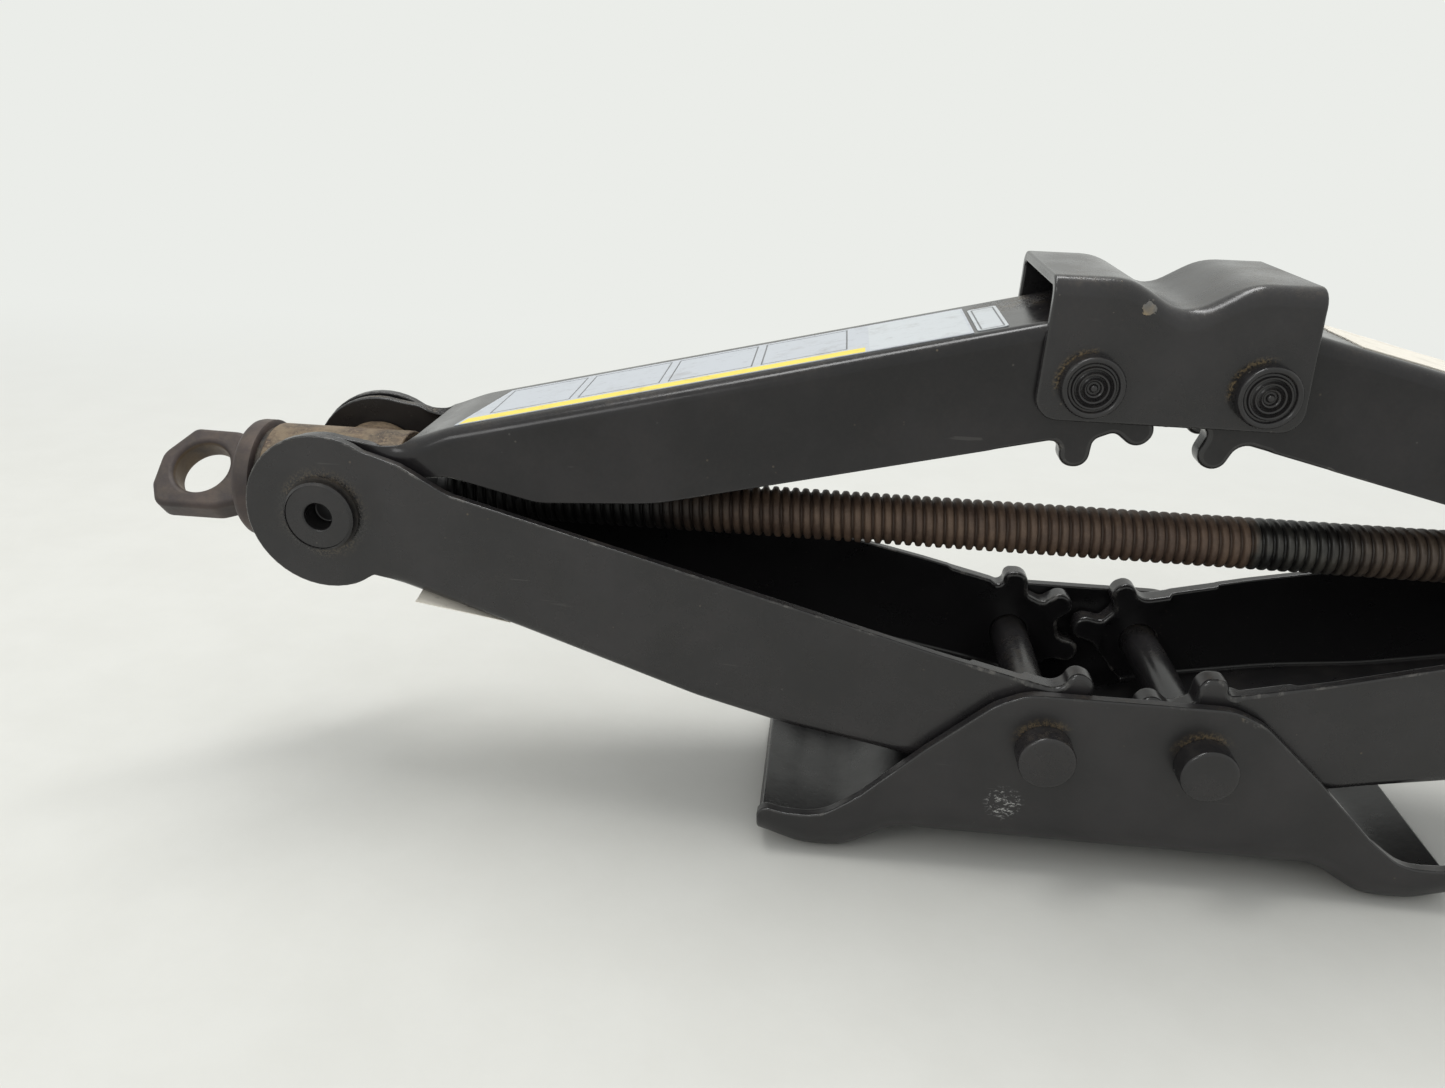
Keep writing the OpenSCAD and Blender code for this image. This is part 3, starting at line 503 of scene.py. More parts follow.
# pressed sheet, drawn in millimetres
# A pressing starts as a flat blank, u along it and s across from the middle of its web. The press bends it to
# a channel in a frame whose Z points out of the web.
def corner(p, q, s, r):
    """Arc that blends the corner q between p and s with radius r."""
    u, w = (p - q).normalized(), (s - q).normalized()
    half = acos(max(-1.0, min(1.0, u.dot(w)))) / 2
    if half > 1.565:
        return [q]
    reach = min(r / tan(half), 0.49 * min((p - q).length, (s - q).length))
    radius = reach * tan(half)
    middle = q + (u + w).normalized() * reach / cos(half)
    a, b = q + u * reach - middle, q + w * reach - middle
    start = atan2(a.y, a.x)
    turn = atan2(a.x * b.y - a.y * b.x, a.dot(b))
    steps = max(4, round(abs(turn) * 5))
    angles = [start + turn * i / steps for i in range(steps + 1)]
    return [middle + polar(radius, t) for t in angles]


def blended(points):
    """Open line through points (x, y, blend radius)."""
    flat = [Vector(p[:2]) for p in points]
    line = [flat[0]]
    for i in range(1, len(flat) - 1):
        line += corner(flat[i - 1], flat[i], flat[i + 1], points[i][2]) if points[i][2] > 0 else [flat[i]]
    return line + [flat[-1]]


def mean(points):
    return sum(points, Vector((0, 0))) / len(points)


def area(loop):
    """Twice the area of a loop, above 0 where its inside lies on its left."""
    return sum(a.x * b.y - a.y * b.x for a, b in zip(loop, loop[1:] + loop[:1]))


def height_of(points):
    """Height over x of a blended line."""
    line = blended(points)
    xs = [p.x for p in line]

    def height(x):
        i = max(1, min(len(line) - 1, bisect.bisect(xs, x)))
        a, b = line[i - 1], line[i]
        return a.y + (b.y - a.y) * max(0.0, min(1.0, (x - a.x) / max(1e-9, b.x - a.x)))
    return height


def ease(low, high, x):
    t = max(0.0, min(1.0, (x - low) / (high - low)))
    return t * t * (3 - 2 * t)


def spread(line, step=1.25, closed=False):
    """The line with no stretch longer than step."""
    ends = list(zip(line, line[1:] + line[:1])) if closed else list(zip(line, line[1:]))
    full = []
    for a, b in ends:
        count = max(1, ceil((b - a).length / step))
        full += [a.lerp(b, i / count) for i in range(count)]
    if not closed:
        full.append(line[-1])
    return [p for i, p in enumerate(full) if (p - full[i - 1]).length > 0.02]


def circle(center, radius, first, last, step=7.0):
    count = max(2, round(abs(last - first) / step))
    angles = [radians(first + (last - first) * i / count) for i in range(count + 1)]
    return [Vector(center) + polar(radius, t) for t in angles]


class Press:
    """Half width, web height and bend radius along u.

    stand is 0 where a blank's sides stand up flat as ears and 1 where they meet the web in a bend."""

    def __init__(self, half, rise, bend, stand=lambda u: 1.0):
        self.half, self.rise, self.bend, self.stand = half, rise, bend, stand

    def seam(self, u):
        """Distance across the blank from its middle to where the bend ends."""
        return self.half(u) + self.bend(u) * (pi / 2 - 1)

    def height(self, p):
        """Height that a flank's point comes to."""
        return self.seam(p.x) + self.rise(p.x) - self.bend(p.x) - abs(p.y)

    def blank(self, u, z, side):
        """Where a flank's point at height z lies on the blank."""
        return Vector((u, side * (self.seam(u) + self.rise(u) - self.bend(u) - z)))

    def shape(self, p):
        """The point of the outer face that a blank's point comes to."""
        half, rise, bend = self.half(p.x), self.rise(p.x), self.bend(p.x)
        s = abs(p.y)
        turn = (s - half + bend) / bend
        flat = self.height(p)
        if turn <= 0:
            y, z = s, rise
        elif turn < pi / 2:
            y, z = half - bend + bend * sin(turn), rise - bend + bend * cos(turn)
        else:
            y, z = half, flat
        share = self.stand(p.x)
        y, z = half + (y - half) * share, flat + (z - flat) * share
        return Vector((p.x, copysign(y, p.y), z))

    def tangents(self, p):
        """Directions along the sheet, across it and out of it."""
        u, s = Vector((0.7, 0)), Vector((0, 0.05))
        along = (self.shape(p + u) - self.shape(p - u)).normalized()
        over = (self.shape(p + s) - self.shape(p - s)).normalized()
        return along, over, along.cross(over).normalized()

    def rows(self, low, high, step, depth):
        """Points of the blank in rows across it: even on web and sides, close round the bends."""
        count = ceil((high - low) / step)
        points = []
        for u in (low + (high - low) * i / count for i in range(count + 1)):
            start, seam = self.half(u) - self.bend(u), self.seam(u)
            places = [start * j / 6 for j in range(6)] + [start + (seam - start) * j / 6 for j in range(7)]
            places += [seam + 0.5 + 2.5 * j for j in range(int(depth / 2.5) + 1)]
            points += [Vector((u, side * s)) for s in places for side in (-1, 1)]
        return points


LEAST_MITRE = 0.6
RIM_CLEAR = 0.9


def pressing(name, press, loops, grid, sheet, rim, place, materials, arc_steps=3):
    """The bent blank: faces out and in, and a rounded rim along every loop.

    loops run with the sheet on their left; sheet gives its thickness at a point and rim the rim's radius."""
    flat, ties, rims = [], [], []
    for loop in loops:
        start, count = len(flat), len(loop)
        ring = []
        for i, p in enumerate(loop):
            back, on = (p - loop[i - 1]).normalized(), (loop[(i + 1) % count] - p).normalized()
            left = Vector((-(back + on).y, (back + on).x)).normalized()
            left /= max(LEAST_MITRE, left.dot(Vector((-on.y, on.x))))
            ring.append((p, left))
            flat.append(p + left * rim(p))
        ties += [(start + i, start + (i + 1) % count) for i in range(count)]
        rims.append((start, ring))
    tree = KDTree(len(flat))
    for i, p in enumerate(flat):
        tree.insert((p.x, p.y, 0), i)
    tree.balance()
    flat += [p for p in grid if tree.find((p.x, p.y, 0))[2] > RIM_CLEAR]
    cut, _, corners, source, _, _ = delaunay_2d_cdt(flat, ties, [], 2, 1e-6)
    found = {first: i for i, origins in enumerate(source) for first in origins}
    bores = []
    for start, ring in rims:
        circuit = [p for p, _ in ring]
        if area(circuit) < 0:
            center = mean(circuit)
            bores.append((center, 0.999 * (flat[start] - center).length))
    corners = [t for t in corners if all((mean([cut[i] for i in t]) - c).length > r for c, r in bores)]
    used = {i for triangle in corners for i in triangle}

    points, normals, faces, slots = [], [], [], []
    turned = place.to_3x3()
    flip = turned.determinant() < 0

    def add(point, normal):
        points.append(place @ (point * MM))
        normals.append((turned @ normal).normalized())
        return len(points) - 1

    outer, inner = {}, {}
    for i in used:
        _, _, normal = press.tangents(cut[i])
        outer[i] = add(press.shape(cut[i]), normal)
        inner[i] = add(press.shape(cut[i]) - normal * sheet(cut[i]), -normal)
    for a, b, c in corners:
        faces += [(outer[a], outer[b], outer[c]), (inner[c], inner[b], inner[a])]
        slots += [0, 2]
    turns = [pi / 2 * j / arc_steps for j in range(arc_steps + 1)]
    turns += [pi / 2 + t for t in turns]
    for start, ring in rims:
        bottom = [inner[found[start + i]] for i in range(len(ring))]
        levels = [[outer[found[start + i]] for i in range(len(ring))]]
        for n, turn in enumerate(turns[1:-1]):
            level = []
            for p, left in ring:
                radius, across = rim(p), left.normalized()
                along, over, normal = press.tangents(p)
                away = -(along * across.x + over * across.y).normalized()
                if n < arc_steps:
                    depth = radius * (1 - cos(turn))
                else:
                    depth = sheet(p) - radius * (1 + cos(turn))
                point = press.shape(p + left * radius * (1 - sin(turn))) - normal * depth
                level.append(add(point, normal * cos(turn) + away * sin(turn)))
            levels.append(level)
        levels.append(bottom)
        for n, (a, b) in enumerate(zip(levels, levels[1:])):
            faces += [(a[i - 1], b[i - 1], b[i], a[i]) for i in range(len(ring))]
            slots += [0 if n == arc_steps else 1] * len(ring)
    if flip:
        faces = [tuple(reversed(f)) for f in faces]
    mesh = bpy.data.meshes.new(name)
    mesh.from_pydata(points, [], faces)
    for material in materials:
        mesh.materials.append(material)
    mesh.polygons.foreach_set("material_index", slots)
    mesh.polygons.foreach_set("use_smooth", [True] * len(faces))
    mesh.normals_split_custom_set_from_vertices(normals)
    return to_object(name, mesh)


def wound(loop):
    """The loop run with the sheet on its left."""
    return loop if area(loop) > 0 else loop[::-1]


def holes(press, *bores):
    """Round holes (u, z, radius) through both flanks, run with the sheet on the left."""
    return [circle(press.blank(u, z, side), radius, 360, 0, 12)[:-1]
            for u, z, radius in bores for side in (-1, 1)]


def even(value):
    """The same value at every point."""
    return lambda p: value


# the four arms: trunnion pivot at the origin, end pivot on +X
ARM = (Vector((DRIVE.x, DRIVE.z)) - Vector((SADDLE_PIN.x, SADDLE_PIN.z))).length / MM
ARM_ANGLE = atan2(SADDLE_PIN.z - DRIVE.z, SADDLE_PIN.x - DRIVE.x)
ARM_SHEET = 2.5
WEB_END = 1.033 * ARM
NOTCH_ROUND, EAR_ROUND, EAR_INSET = 5.0, 3.0, 9
FRONT_REACH, TAIL_REACH, TAIL_ROUND, TONGUE_ROUND, TONGUE_ROOT = 7, 6, 2.2, 1.6, 2.0
GRID_FINE, GRID_COARSE, GRID_DEPTH = 1.3, 2.6, 34
JOURNAL_BORE, RIVET_BORE = 6.58, 5.08
TOOTH_STEP, FIRST_TOOTH = 360 / 7, -105
TOOTH_ROUND, TOOTH_TIP, TOOTH_ROOT = 3.3, 19.6, 13.0
TOOTH_FLARE, TOOTH_VALLEY, TOOTH_LEAD = 1.1, 2.2, 3.5
TOOTH_DEEP, TOOTH_FROM, TOOTH_TO = 6.0, -125, 45
LIP_START, LIP_END, LIP_SHARE = 157.5, 172.5, 0.4
RIM_ROUND, TOOTH_RIM = 0.45, 1.2
JOURNAL_HOLE = 4.6 * MM


def teeth(shifted, depth):
    """Corners of the teeth round the end pivot, from the open edge on, as (u, z, blend radius)."""
    def off(angle, out, aside):
        return (ARM + out * cos(angle) - aside * sin(angle),
                out * sin(angle) + aside * cos(angle))
    points = []
    for i in range(2 if shifted else 3):
        angle = radians(FIRST_TOOTH + TOOTH_STEP * (i + 0.5 * shifted))
        wide = TOOTH_ROUND * TOOTH_FLARE
        lead = off(angle, (TOOTH_ROUND * cos(angle) - depth) / sin(angle), -TOOTH_ROUND)
        points += [(*lead, TOOTH_LEAD) if i == 0 else (*off(angle, TOOTH_ROOT, -wide), TOOTH_VALLEY),
                   (*off(angle, TOOTH_TIP, -TOOTH_ROUND), TOOTH_ROUND),
                   (*off(angle, TOOTH_TIP, TOOTH_ROUND), TOOTH_ROUND),
                   (*off(angle, TOOTH_ROOT, wide), TOOTH_VALLEY)]
    return points


def arm(node, end, form):
    """An arm at the drive's end (-1) or the nut's end (1), from its outline.

    front is where the web starts, as (u, z); ear is the ear's circle as (radius, first angle, last angle),
    web_side its way to the web and open_side its way to the open edge, which lies at depth. tongue is where
    the web ends between the teeth, as (u, half width). The grid is fine up to dense."""
    press, depth, tongue = form.press, form.depth, form.tongue
    near_shifted = (end > 0) == form.upper
    radius, first, last = form.ear
    turn = circle((0, 0), radius, first + EAR_INSET, last - EAR_INSET)
    joins = [(*circle((0, 0), radius, first, last)[i], EAR_ROUND) for i in (0, -1)]
    halves = []
    for side in (-1, 1):
        shifted = near_shifted if side < 0 else not near_shifted
        line = blended([(*form.front, 0)] + form.web_side + [joins[0], (*turn[0], 0)])
        line += turn[1:-1]
        line += blended([(*turn[-1], 0), joins[1]] + form.open_side + teeth(shifted, depth)
                        + [(WEB_END, press.rise(WEB_END) - press.bend(WEB_END) / 2, 0)])
        line = [press.blank(*p, side) for p in spread(line)]
        reach = next(i for i, p in enumerate(line) if (p - line[0]).length > FRONT_REACH)
        back = next(i for i, p in enumerate(line[::-1]) if (p - line[-1]).length > TAIL_REACH)
        start = blended([(form.front[0], 0, 0), (*line[0], NOTCH_ROUND), (*line[reach], 0)])
        tail = [(*line[-1 - back], 0), (*line[-1], TAIL_ROUND)]
        if tongue:
            tail += [(WEB_END, side * tongue[1], TONGUE_ROUND), (tongue[0], side * tongue[1], TONGUE_ROOT),
                     (tongue[0], 0, 0)]
        else:
            tail += [(WEB_END, 0, 0)]
        halves.append(start[1:] + line[reach + 1:-1 - back] + blended(tail)[:-1])
    loop = wound(spread(halves[0] + halves[1][::-1], closed=True))

    def turned_in(p):
        if abs(p.y) < press.seam(p.x):
            return 0.0
        z = press.height(p)
        angle = degrees(atan2(z, p.x - ARM))
        rim = ease(TOOTH_ROOT - ARM_SHEET, TOOTH_ROOT - ARM_SHEET + 1, hypot(p.x - ARM, z))
        rim *= 1.0 if TOOTH_FROM < angle < TOOTH_TO else 0.0
        lip = ease(LIP_START, LIP_START + 1, p.x) * ease(ARM_SHEET - depth + 0.5, ARM_SHEET - depth - 0.5, z)
        return max(rim, LIP_SHARE * lip if p.x < LIP_END else 0.0)

    place = Matrix.Translation((2 * MIDDLE - DRIVE.x if end > 0 else DRIVE.x, 0, DRIVE.z))
    place @= Matrix.Diagonal((-end, 1, 1 if form.upper else -1, 1))
    place @= Matrix.Rotation(-ARM_ANGLE, 4, "Y")
    grid = press.rows(-radius, form.dense, GRID_FINE, GRID_DEPTH)
    grid += press.rows(form.dense + GRID_COARSE, ARM + TOOTH_TIP, GRID_COARSE, GRID_DEPTH)
    bores = holes(press, (0, 0, JOURNAL_BORE), (ARM, 0, RIVET_BORE))
    made = pressing(node + "_pressing", press, [loop] + bores, grid,
                    lambda p: ARM_SHEET + (TOOTH_DEEP - ARM_SHEET) * turned_in(p),
                    lambda p: RIM_ROUND + (TOOTH_RIM - RIM_ROUND) * turned_in(p), place, form.materials)
    own(made, node, "upper_arm_paint" if form.upper else "lower_arm_paint", node)


UPPER = SimpleNamespace(
    upper=True, front=(25, 12.93), ear=(18.8, 61.2, 375.4), web_side=[(18, 12.88, 7.0)],
    open_side=[(27, 3.48, 1.8), (32.4, 2.88, 6), (52.2, -7.2, 18), (80.1, -12, 48)],
    depth=12.0, tongue=None, dense=42, materials=(PAINT["upper"], EDGE, INSIDE_SHADE),
    press=Press(half=lambda u: 18.6 + 1.1 * ease(20, 30, u), rise=lambda u: 12.9 + 1.1 * ease(24, 36, u),
                bend=lambda u: 3.5 + 0.8 * ease(38, 25, u), stand=lambda u: ease(15, 24, u)))
lower_web = height_of([(21.96, 13.3, 0), (54, 14.7, 52.8), (99, 17.6, 70.4), (122.4, 17.34, 52.8),
                       (144, 15.4, 52.8), (171, 14.08, 0)])
LOWER = SimpleNamespace(
    upper=False, front=(21.96, 13.3), ear=(19.4, 40.8, 290.9), web_side=[(15.66, 12.6, 2.0)],
    open_side=[(16.2, -17.64, 7), (28.8, -14.28, 11.2)],
    depth=14.0, tongue=(198.36, 26.5), dense=30, materials=(PAINT["lower"], OPEN_EDGE, INSIDE_SHADE),
    press=Press(half=lambda u: 22.2 + 8.3 * max(0.0, min(1.0, (u - 12.06) / 137.88)), rise=lower_web,
                bend=even(4.0), stand=lambda u: ease(11, 21.96, u)))
for word, end in (("left", -1), ("right", 1)):
    arm("upper_arm_" + word, end, UPPER)
    arm("lower_arm_" + word, end, LOWER)


def channel(node, press, side, pin, grid, sheet, rim, place):
    """The base or the saddle, from the outline of its two like sides, bored for two pins."""
    side = spread(blended(side))
    loop = [press.blank(*p, 1) for p in side] + [press.blank(*p, -1) for p in side[::-1]]
    bores = holes(press, *((u, pin[1], RIVET_BORE) for u in (-pin[0], pin[0])))
    made = pressing(node + "_pressing", press, [wound(spread(loop, closed=True))] + bores, press.rows(*grid),
                    even(sheet), even(rim), place, (PAINT[node], EDGE, INSIDE_SHADE))
    own(made, node, node + "_paint", node)


# the base upside down, its web at the floor
BASE_HALF, BASE_WIDE, BASE_BEND = 84, 34.0, 8.0
WALL_TOP, WALL_FLAT, FOOT_WALL, WALL_FOOT = 50, 23, 12, 6
PLATE_LIFT, TIP_LIFT = 7.5, 4
WALL_SHARES = [(0, 0), (0.12, 0.09), (0.36, 0.44), (0.6, 0.83), (0.75, 1.01), (0.9, 1)]
plate_line = [(0.6 * BASE_HALF, PLATE_LIFT, 12), (0.74 * BASE_HALF, 0, 14), (0.87 * BASE_HALF, 0, 14),
              (BASE_HALF + 1, TIP_LIFT, 0)]
plate = height_of([(-x, z, r) for x, z, r in plate_line[::-1]] + plate_line)
run, fall = BASE_HALF - WALL_FLAT, WALL_TOP - FOOT_WALL
wall = [(WALL_FLAT + run * x, fall * z - WALL_TOP, 0.35 * fall) for x, z in WALL_SHARES]
wall += [(BASE_HALF, 0.96 * fall - WALL_TOP, 0.4 * BASE_BEND), (BASE_HALF, -WALL_FOOT, 0)]
channel("base", Press(half=even(BASE_WIDE), rise=lambda u: -plate(u), bend=even(BASE_BEND)),
        [(-x, z, r) for x, z, r in wall[::-1]] + wall, ((BASE_PIN.x - MIDDLE) / MM, -BASE_PIN.z / MM),
        (-BASE_HALF, BASE_HALF, 2.5, 44), 3.0, 0.55,
        Matrix.Translation((MIDDLE, 0, 0)) @ Matrix.Diagonal((1, 1, -1, 1)))

# the saddle, its groove across the web
SADDLE_LEFT, SADDLE_RIGHT, SADDLE_FLARE = -28.3, 26.7, 0.8
SADDLE_TOP, GROOVE_LOW, GROOVE_HALF, SKIRT_LOW = 22.3, 15.1, 12.2, -8.4
groove = height_of([(SADDLE_LEFT, SADDLE_TOP, 0), (-GROOVE_HALF, SADDLE_TOP, 14), (0, GROOVE_LOW, 8),
                    (GROOVE_HALF, SADDLE_TOP, 14), (SADDLE_RIGHT, SADDLE_TOP, 0)])
skirt_left, skirt_right = SADDLE_LEFT - SADDLE_FLARE, SADDLE_RIGHT + SADDLE_FLARE
skirt = [(SADDLE_LEFT, 17, 0), (skirt_left, SKIRT_LOW, -0.6 * SKIRT_LOW),
         (skirt_right, SKIRT_LOW, -0.6 * SKIRT_LOW), (SADDLE_RIGHT, 17, 0)]
channel("saddle", Press(half=even(22.5), rise=groove, bend=lambda u: 4.0 + 0.3 * exp(-(u / 9) ** 2)),
        skirt, ((SADDLE_PIN.x - MIDDLE) / MM, 0), (skirt_left, skirt_right, GRID_FINE, GRID_DEPTH), 2.5, 0.6,
        Matrix.Translation((MIDDLE, 0, SADDLE_PIN.z)))

# turned and forged pieces
for node in ("drive_trunnion", "nut_trunnion"):
    block = softened(node, node + "_block", 0.5 * MM, RUST, RUST)
    block.data.materials.append(PAINT["journal"])
    block.data.materials.append(INSIDE_SHADE)
    pivot = DRIVE if node == "drive_trunnion" else NUT
    for face in block.data.polygons:
        corners = [block.data.vertices[v].co - pivot for v in face.vertices]
        # Painted shade: faces down the journal's bore get the darker inside paint, for the shade in the hole
        if abs(face.center.y) > EAR_HALF / 2 and max(hypot(c.x, c.z) for c in corners) < JOURNAL_HOLE:
            face.material_index = 3
        elif abs(face.center.y) > EAR_HALF:
            face.material_index = 2
    own(block, node, "trunnion_steel", node)

# the forged eye: a rolled flat ring that stands out of its collar
EYE_SHARES = [(0, 0.72, 0), (0.28, 0.98, 0.5), (0.74, 1, 0.24), (1, 0.3, 0.4), (1, -0.5, 0.25),
              (0.9, -1, 0.3), (0.28, -1, 0.5), (0, -0.72, 0)]
COLLAR_SHARES = [(0, 0.5), (0.42, 0.5), (0.42, 0), (0.96, 0), (1, 0.08), (1, 0.6), (0.985, 0.76), (0.94, 0.9),
                 (0.87, 0.98), (0.8, 1), (0, 1)]
EYE_SUNK = 2 * MM
collar_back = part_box("drive_eye")[1].x - DRIVE.x
collar_front = collar_back - COLLAR_LENGTH
eye_reach = EYE_FRONT + collar_front
eye_line = [(collar_front - x * eye_reach + (0 if x else EYE_SUNK), y * EYE_HALF, r * EYE_HALF)
            for x, y, r in EYE_SHARES]
eye_line = [(x / MM, y / MM, r / MM) for x, y, r in eye_line]
eye_press = Press(half=even(14.0), rise=even(EYE_THICK / 2 / MM), bend=even(1.0))
eye_loops = [wound(spread(blended(eye_line), 2.2, closed=True)),
             circle((-EYE_REACH / MM, 0), EYE_HOLE / MM, 360, 0, 6)[:-1]]
rolled = Matrix(((1, 0, 0), (0, sin(EYE_ROLL), -cos(EYE_ROLL)),
                 (0, cos(EYE_ROLL), sin(EYE_ROLL)))).to_4x4()
ring = pressing("eye_ring", eye_press, eye_loops, eye_press.rows(-EYE_FRONT / MM, -20, 1.6, 0),
                even(EYE_THICK / MM), even(1.5), Matrix.Translation(DRIVE) @ rolled, (FORGED,) * 3, 5)
collar = lathe("eye_collar", scaled(COLLAR_SHARES, COLLAR_RADIUS, COLLAR_LENGTH),
               DRIVE + Vector((collar_back, 0, 0)), (-1, 0, 0), FORGED, 96)
own(joined("drive_eye_forging", ring, collar), "screw", "forged_steel", "drive_eye")
for node in ("drive_trunnion_washers", "nut_trunnion_washers", "thrust_washer", "retaining_ring",
             "stop_washer", "stop_pin"):
    for i in range(len(CAD[node].data.materials)):
        CAD[node].data.materials[i] = WASHER

# rivet heads: one pressed with rings around a small button, and a plain one
RINGED = [(0, 1.0), (0.06, 1.0), (0.1, 0.95), (0.14, 0.78), (0.2, 0.77), (0.24, 0.92), (0.28, 0.94),
          (0.32, 0.8), (0.38, 0.77), (0.42, 0.91), (0.47, 0.93), (0.51, 0.79), (0.57, 0.76), (0.61, 0.9),
          (0.66, 0.92), (0.7, 0.78), (0.76, 0.76), (0.81, 0.91), (0.87, 0.96), (0.93, 0.95), (0.97, 0.86),
          (1.0, 0.7), (1.0, 0.0)]
PLAIN = [(0, 0.985), (0.5, 0.99), (0.84, 1.0), (0.93, 0.985), (0.98, 0.94), (1.0, 0.86), (1.0, 0.0)]


def rivet(node, body, height, near_head, far_head):
    """A long rivet across the body, with a head at each side and its shank sunk in both."""
    low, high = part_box(node)
    radius, wall = (high.x - low.x) / 2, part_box(body)[1].y
    near_profile = scaled(near_head, radius, -wall - low.y)
    far_profile = scaled(far_head, radius, high.y - wall)
    near = Vector(((low.x + high.x) / 2, low.y + near_profile[0][1], height))
    far = Vector((near.x, high.y - far_profile[0][1], height))
    shank = [(RIVET_RADIUS, 0), (RIVET_RADIUS, far.y - near.y)]
    parts = [lathe(node + "_near", near_profile, near, (0, -1, 0), PAINT["rivet"]),
             lathe(node + "_far", far_profile, far, (0, 1, 0), PAINT["rivet"]),
             lathe(node + "_shank", shank, near, (0, 1, 0), PAINT["rivet"])]
    own(joined(node + "_piece", *parts), body, "rivet_paint", node)


for word in ("left", "right"):
    rivet("base_rivet_" + word, "base", BASE_PIN.z, PLAIN, RINGED)
    rivet("saddle_rivet_" + word, "saddle", SADDLE_PIN.z, RINGED, RINGED)


def threaded_rod(name, node):
    """The screw with a real right-hand helix between its shank and its free end."""
    low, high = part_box(node)
    steps = 40
    core = SCREW_RADIUS - THREAD_DEPTH
    form = [(0.0, 0.22), (0.08, 0.25), (0.15, 0.48), (0.22, 0.82), (0.32, 0.96), (0.5, 1.0)]
    form += [(1 - along, rise) for along, rise in form[-2::-1]]
    start = DRIVE.x + THREAD_START
    end = high.x - END_CHAMFER
    turns = (end - start) / THREAD_PITCH - 1
    count = int(turns * steps)
    work = bmesh.new()
    rows = []
    for i in range(count + 1):
        angle = tau * i / steps
        fade = min(1.0, i / steps, (count - i) / steps)
        row = []
        for along, rise in form:
            radius = core + THREAD_DEPTH * rise * fade
            radius += 0.05 * MM * noise.noise(Vector((i * 0.11, along * 3, 0.5)))
            x = start + (i / steps + along) * THREAD_PITCH
            row.append(work.verts.new((x, radius * sin(-angle), DRIVE.z + radius * cos(-angle))))
        rows.append(row)
    for a, b in zip(rows, rows[1:]):
        for j in range(len(form) - 1):
            work.faces.new((a[j], b[j], b[j + 1], a[j + 1]))
    bmesh.ops.remove_doubles(work, verts=work.verts, dist=0.004 * MM)
    bmesh.ops.recalc_face_normals(work, faces=work.faces)
    thread = from_work(name + "_thread", work, THREAD, smooth=True)
    inner = core - 0.08 * MM
    length = high.x - low.x
    profile = [(0, 0), (SCREW_RADIUS, 0), (SCREW_RADIUS, start - low.x - END_CHAMFER), (inner, start - low.x),
               (inner, length - END_CHAMFER), (inner - END_CHAMFER, length), (0, length)]
    rod = lathe(name + "_core", profile, (low.x, 0, DRIVE.z), (1, 0, 0), THREAD, 48)
    return joined(name, thread, rod)


own(threaded_rod("screw_thread_piece", "screw"), "screw", "screw_steel", "screw")


# labels
FILM_SHEET = LABEL_SHEET - 0.06 * MM
PRINT_SHEET = 0.02 * MM
FRAME_LINE = 0.35 * MM


def web_place(pivot, target):
    """Matrix from an upper arm's own frame, X along it and Z out of its web, to the row frame."""
    along = (target - pivot).normalized()
    across = Vector((0, copysign(1, along.x), 0))
    place = Matrix((along, across, along.cross(across))).transposed().to_4x4()
    place.translation = pivot
    return place


def sheet_piece(name, outline, place, material, thickness=FILM_SHEET, height=WEB_RISE):
    """A thin film from its outline, in the arm's frame."""
    work = bmesh.new()
    face = work.faces.new([work.verts.new((x, y, height)) for x, y in outline])
    if face.normal.z < 0:
        face.normal_flip()
    raised = bmesh.ops.extrude_face_region(work, geom=[face])
    for v in (g for g in raised["geom"] if isinstance(g, bmesh.types.BMVert)):
        v.co.z += thickness
    bmesh.ops.recalc_face_normals(work, faces=work.faces)
    bmesh.ops.transform(work, matrix=place, verts=work.verts)
    return from_work(name, work, material)


def rounded_box(x0, x1, y0, y1, r):
    """Corner-rounded rectangle, going round."""
    corners = ((x1 - r, y0 + r), (x1 - r, y1 - r), (x0 + r, y1 - r), (x0 + r, y0 + r))
    return [p for i, center in enumerate(corners) for p in circle(center, r, 90 * i - 90, 90 * i, 22.5)]


def printed(name, outline, material):
    """Print on a film of the upper left arm."""
    return sheet_piece(name, outline, left_web, material, PRINT_SHEET, WEB_RISE + FILM_SHEET)


def framed(name, x0, x1, y0, y1):
    """An empty printed frame: four thin lines."""
    line = FRAME_LINE
    bars = ((x0, x1, y0, y0 + line), (x0, x1, y1 - line, y1),
            (x0, x0 + line, y0, y1), (x1 - line, x1, y0, y1))
    return [printed(f"{name}_{i}", rounded_box(*bar, 0.1 * MM), FILM_LINE) for i, bar in enumerate(bars)]


LABEL_NEAR, LABEL_FAR = -16.2 * MM, 13.2 * MM
LABEL_START, LABEL_SPLIT, LABEL_END = 36.3 * MM, 134 * MM, 157.8 * MM
LABEL_SLANT = 6 * MM
BAND_WIDTH = 4.2 * MM
FRAMES = 4
FRAME_GAP = 2 * MM
TAG_START, TAG_END, TAG_FAR = LABEL_END + 0.9 * MM, LABEL_END + 7.6 * MM, 9.4 * MM
left_web = web_place(DRIVE, SADDLE_PIN)
band_low = LABEL_NEAR + 0.5 * MM
band_high = band_low + BAND_WIDTH
film_parts = [
    sheet_piece("film", [(LABEL_START, LABEL_NEAR), (LABEL_END, LABEL_NEAR), (LABEL_END, LABEL_FAR),
                         (LABEL_START + LABEL_SLANT, LABEL_FAR)], left_web, FILM_GREY),
    printed("band", [(LABEL_START + 1 * MM, band_low), (LABEL_SPLIT, band_low), (LABEL_SPLIT, band_high),
                     (LABEL_START + 2 * MM, band_high)], FILM_YELLOW),
    printed("panel", rounded_box(LABEL_SPLIT + 1 * MM, LABEL_END - 0.6 * MM, LABEL_NEAR + 0.8 * MM,
                                 LABEL_FAR - 0.8 * MM, 1 * MM), FILM_PALE)]
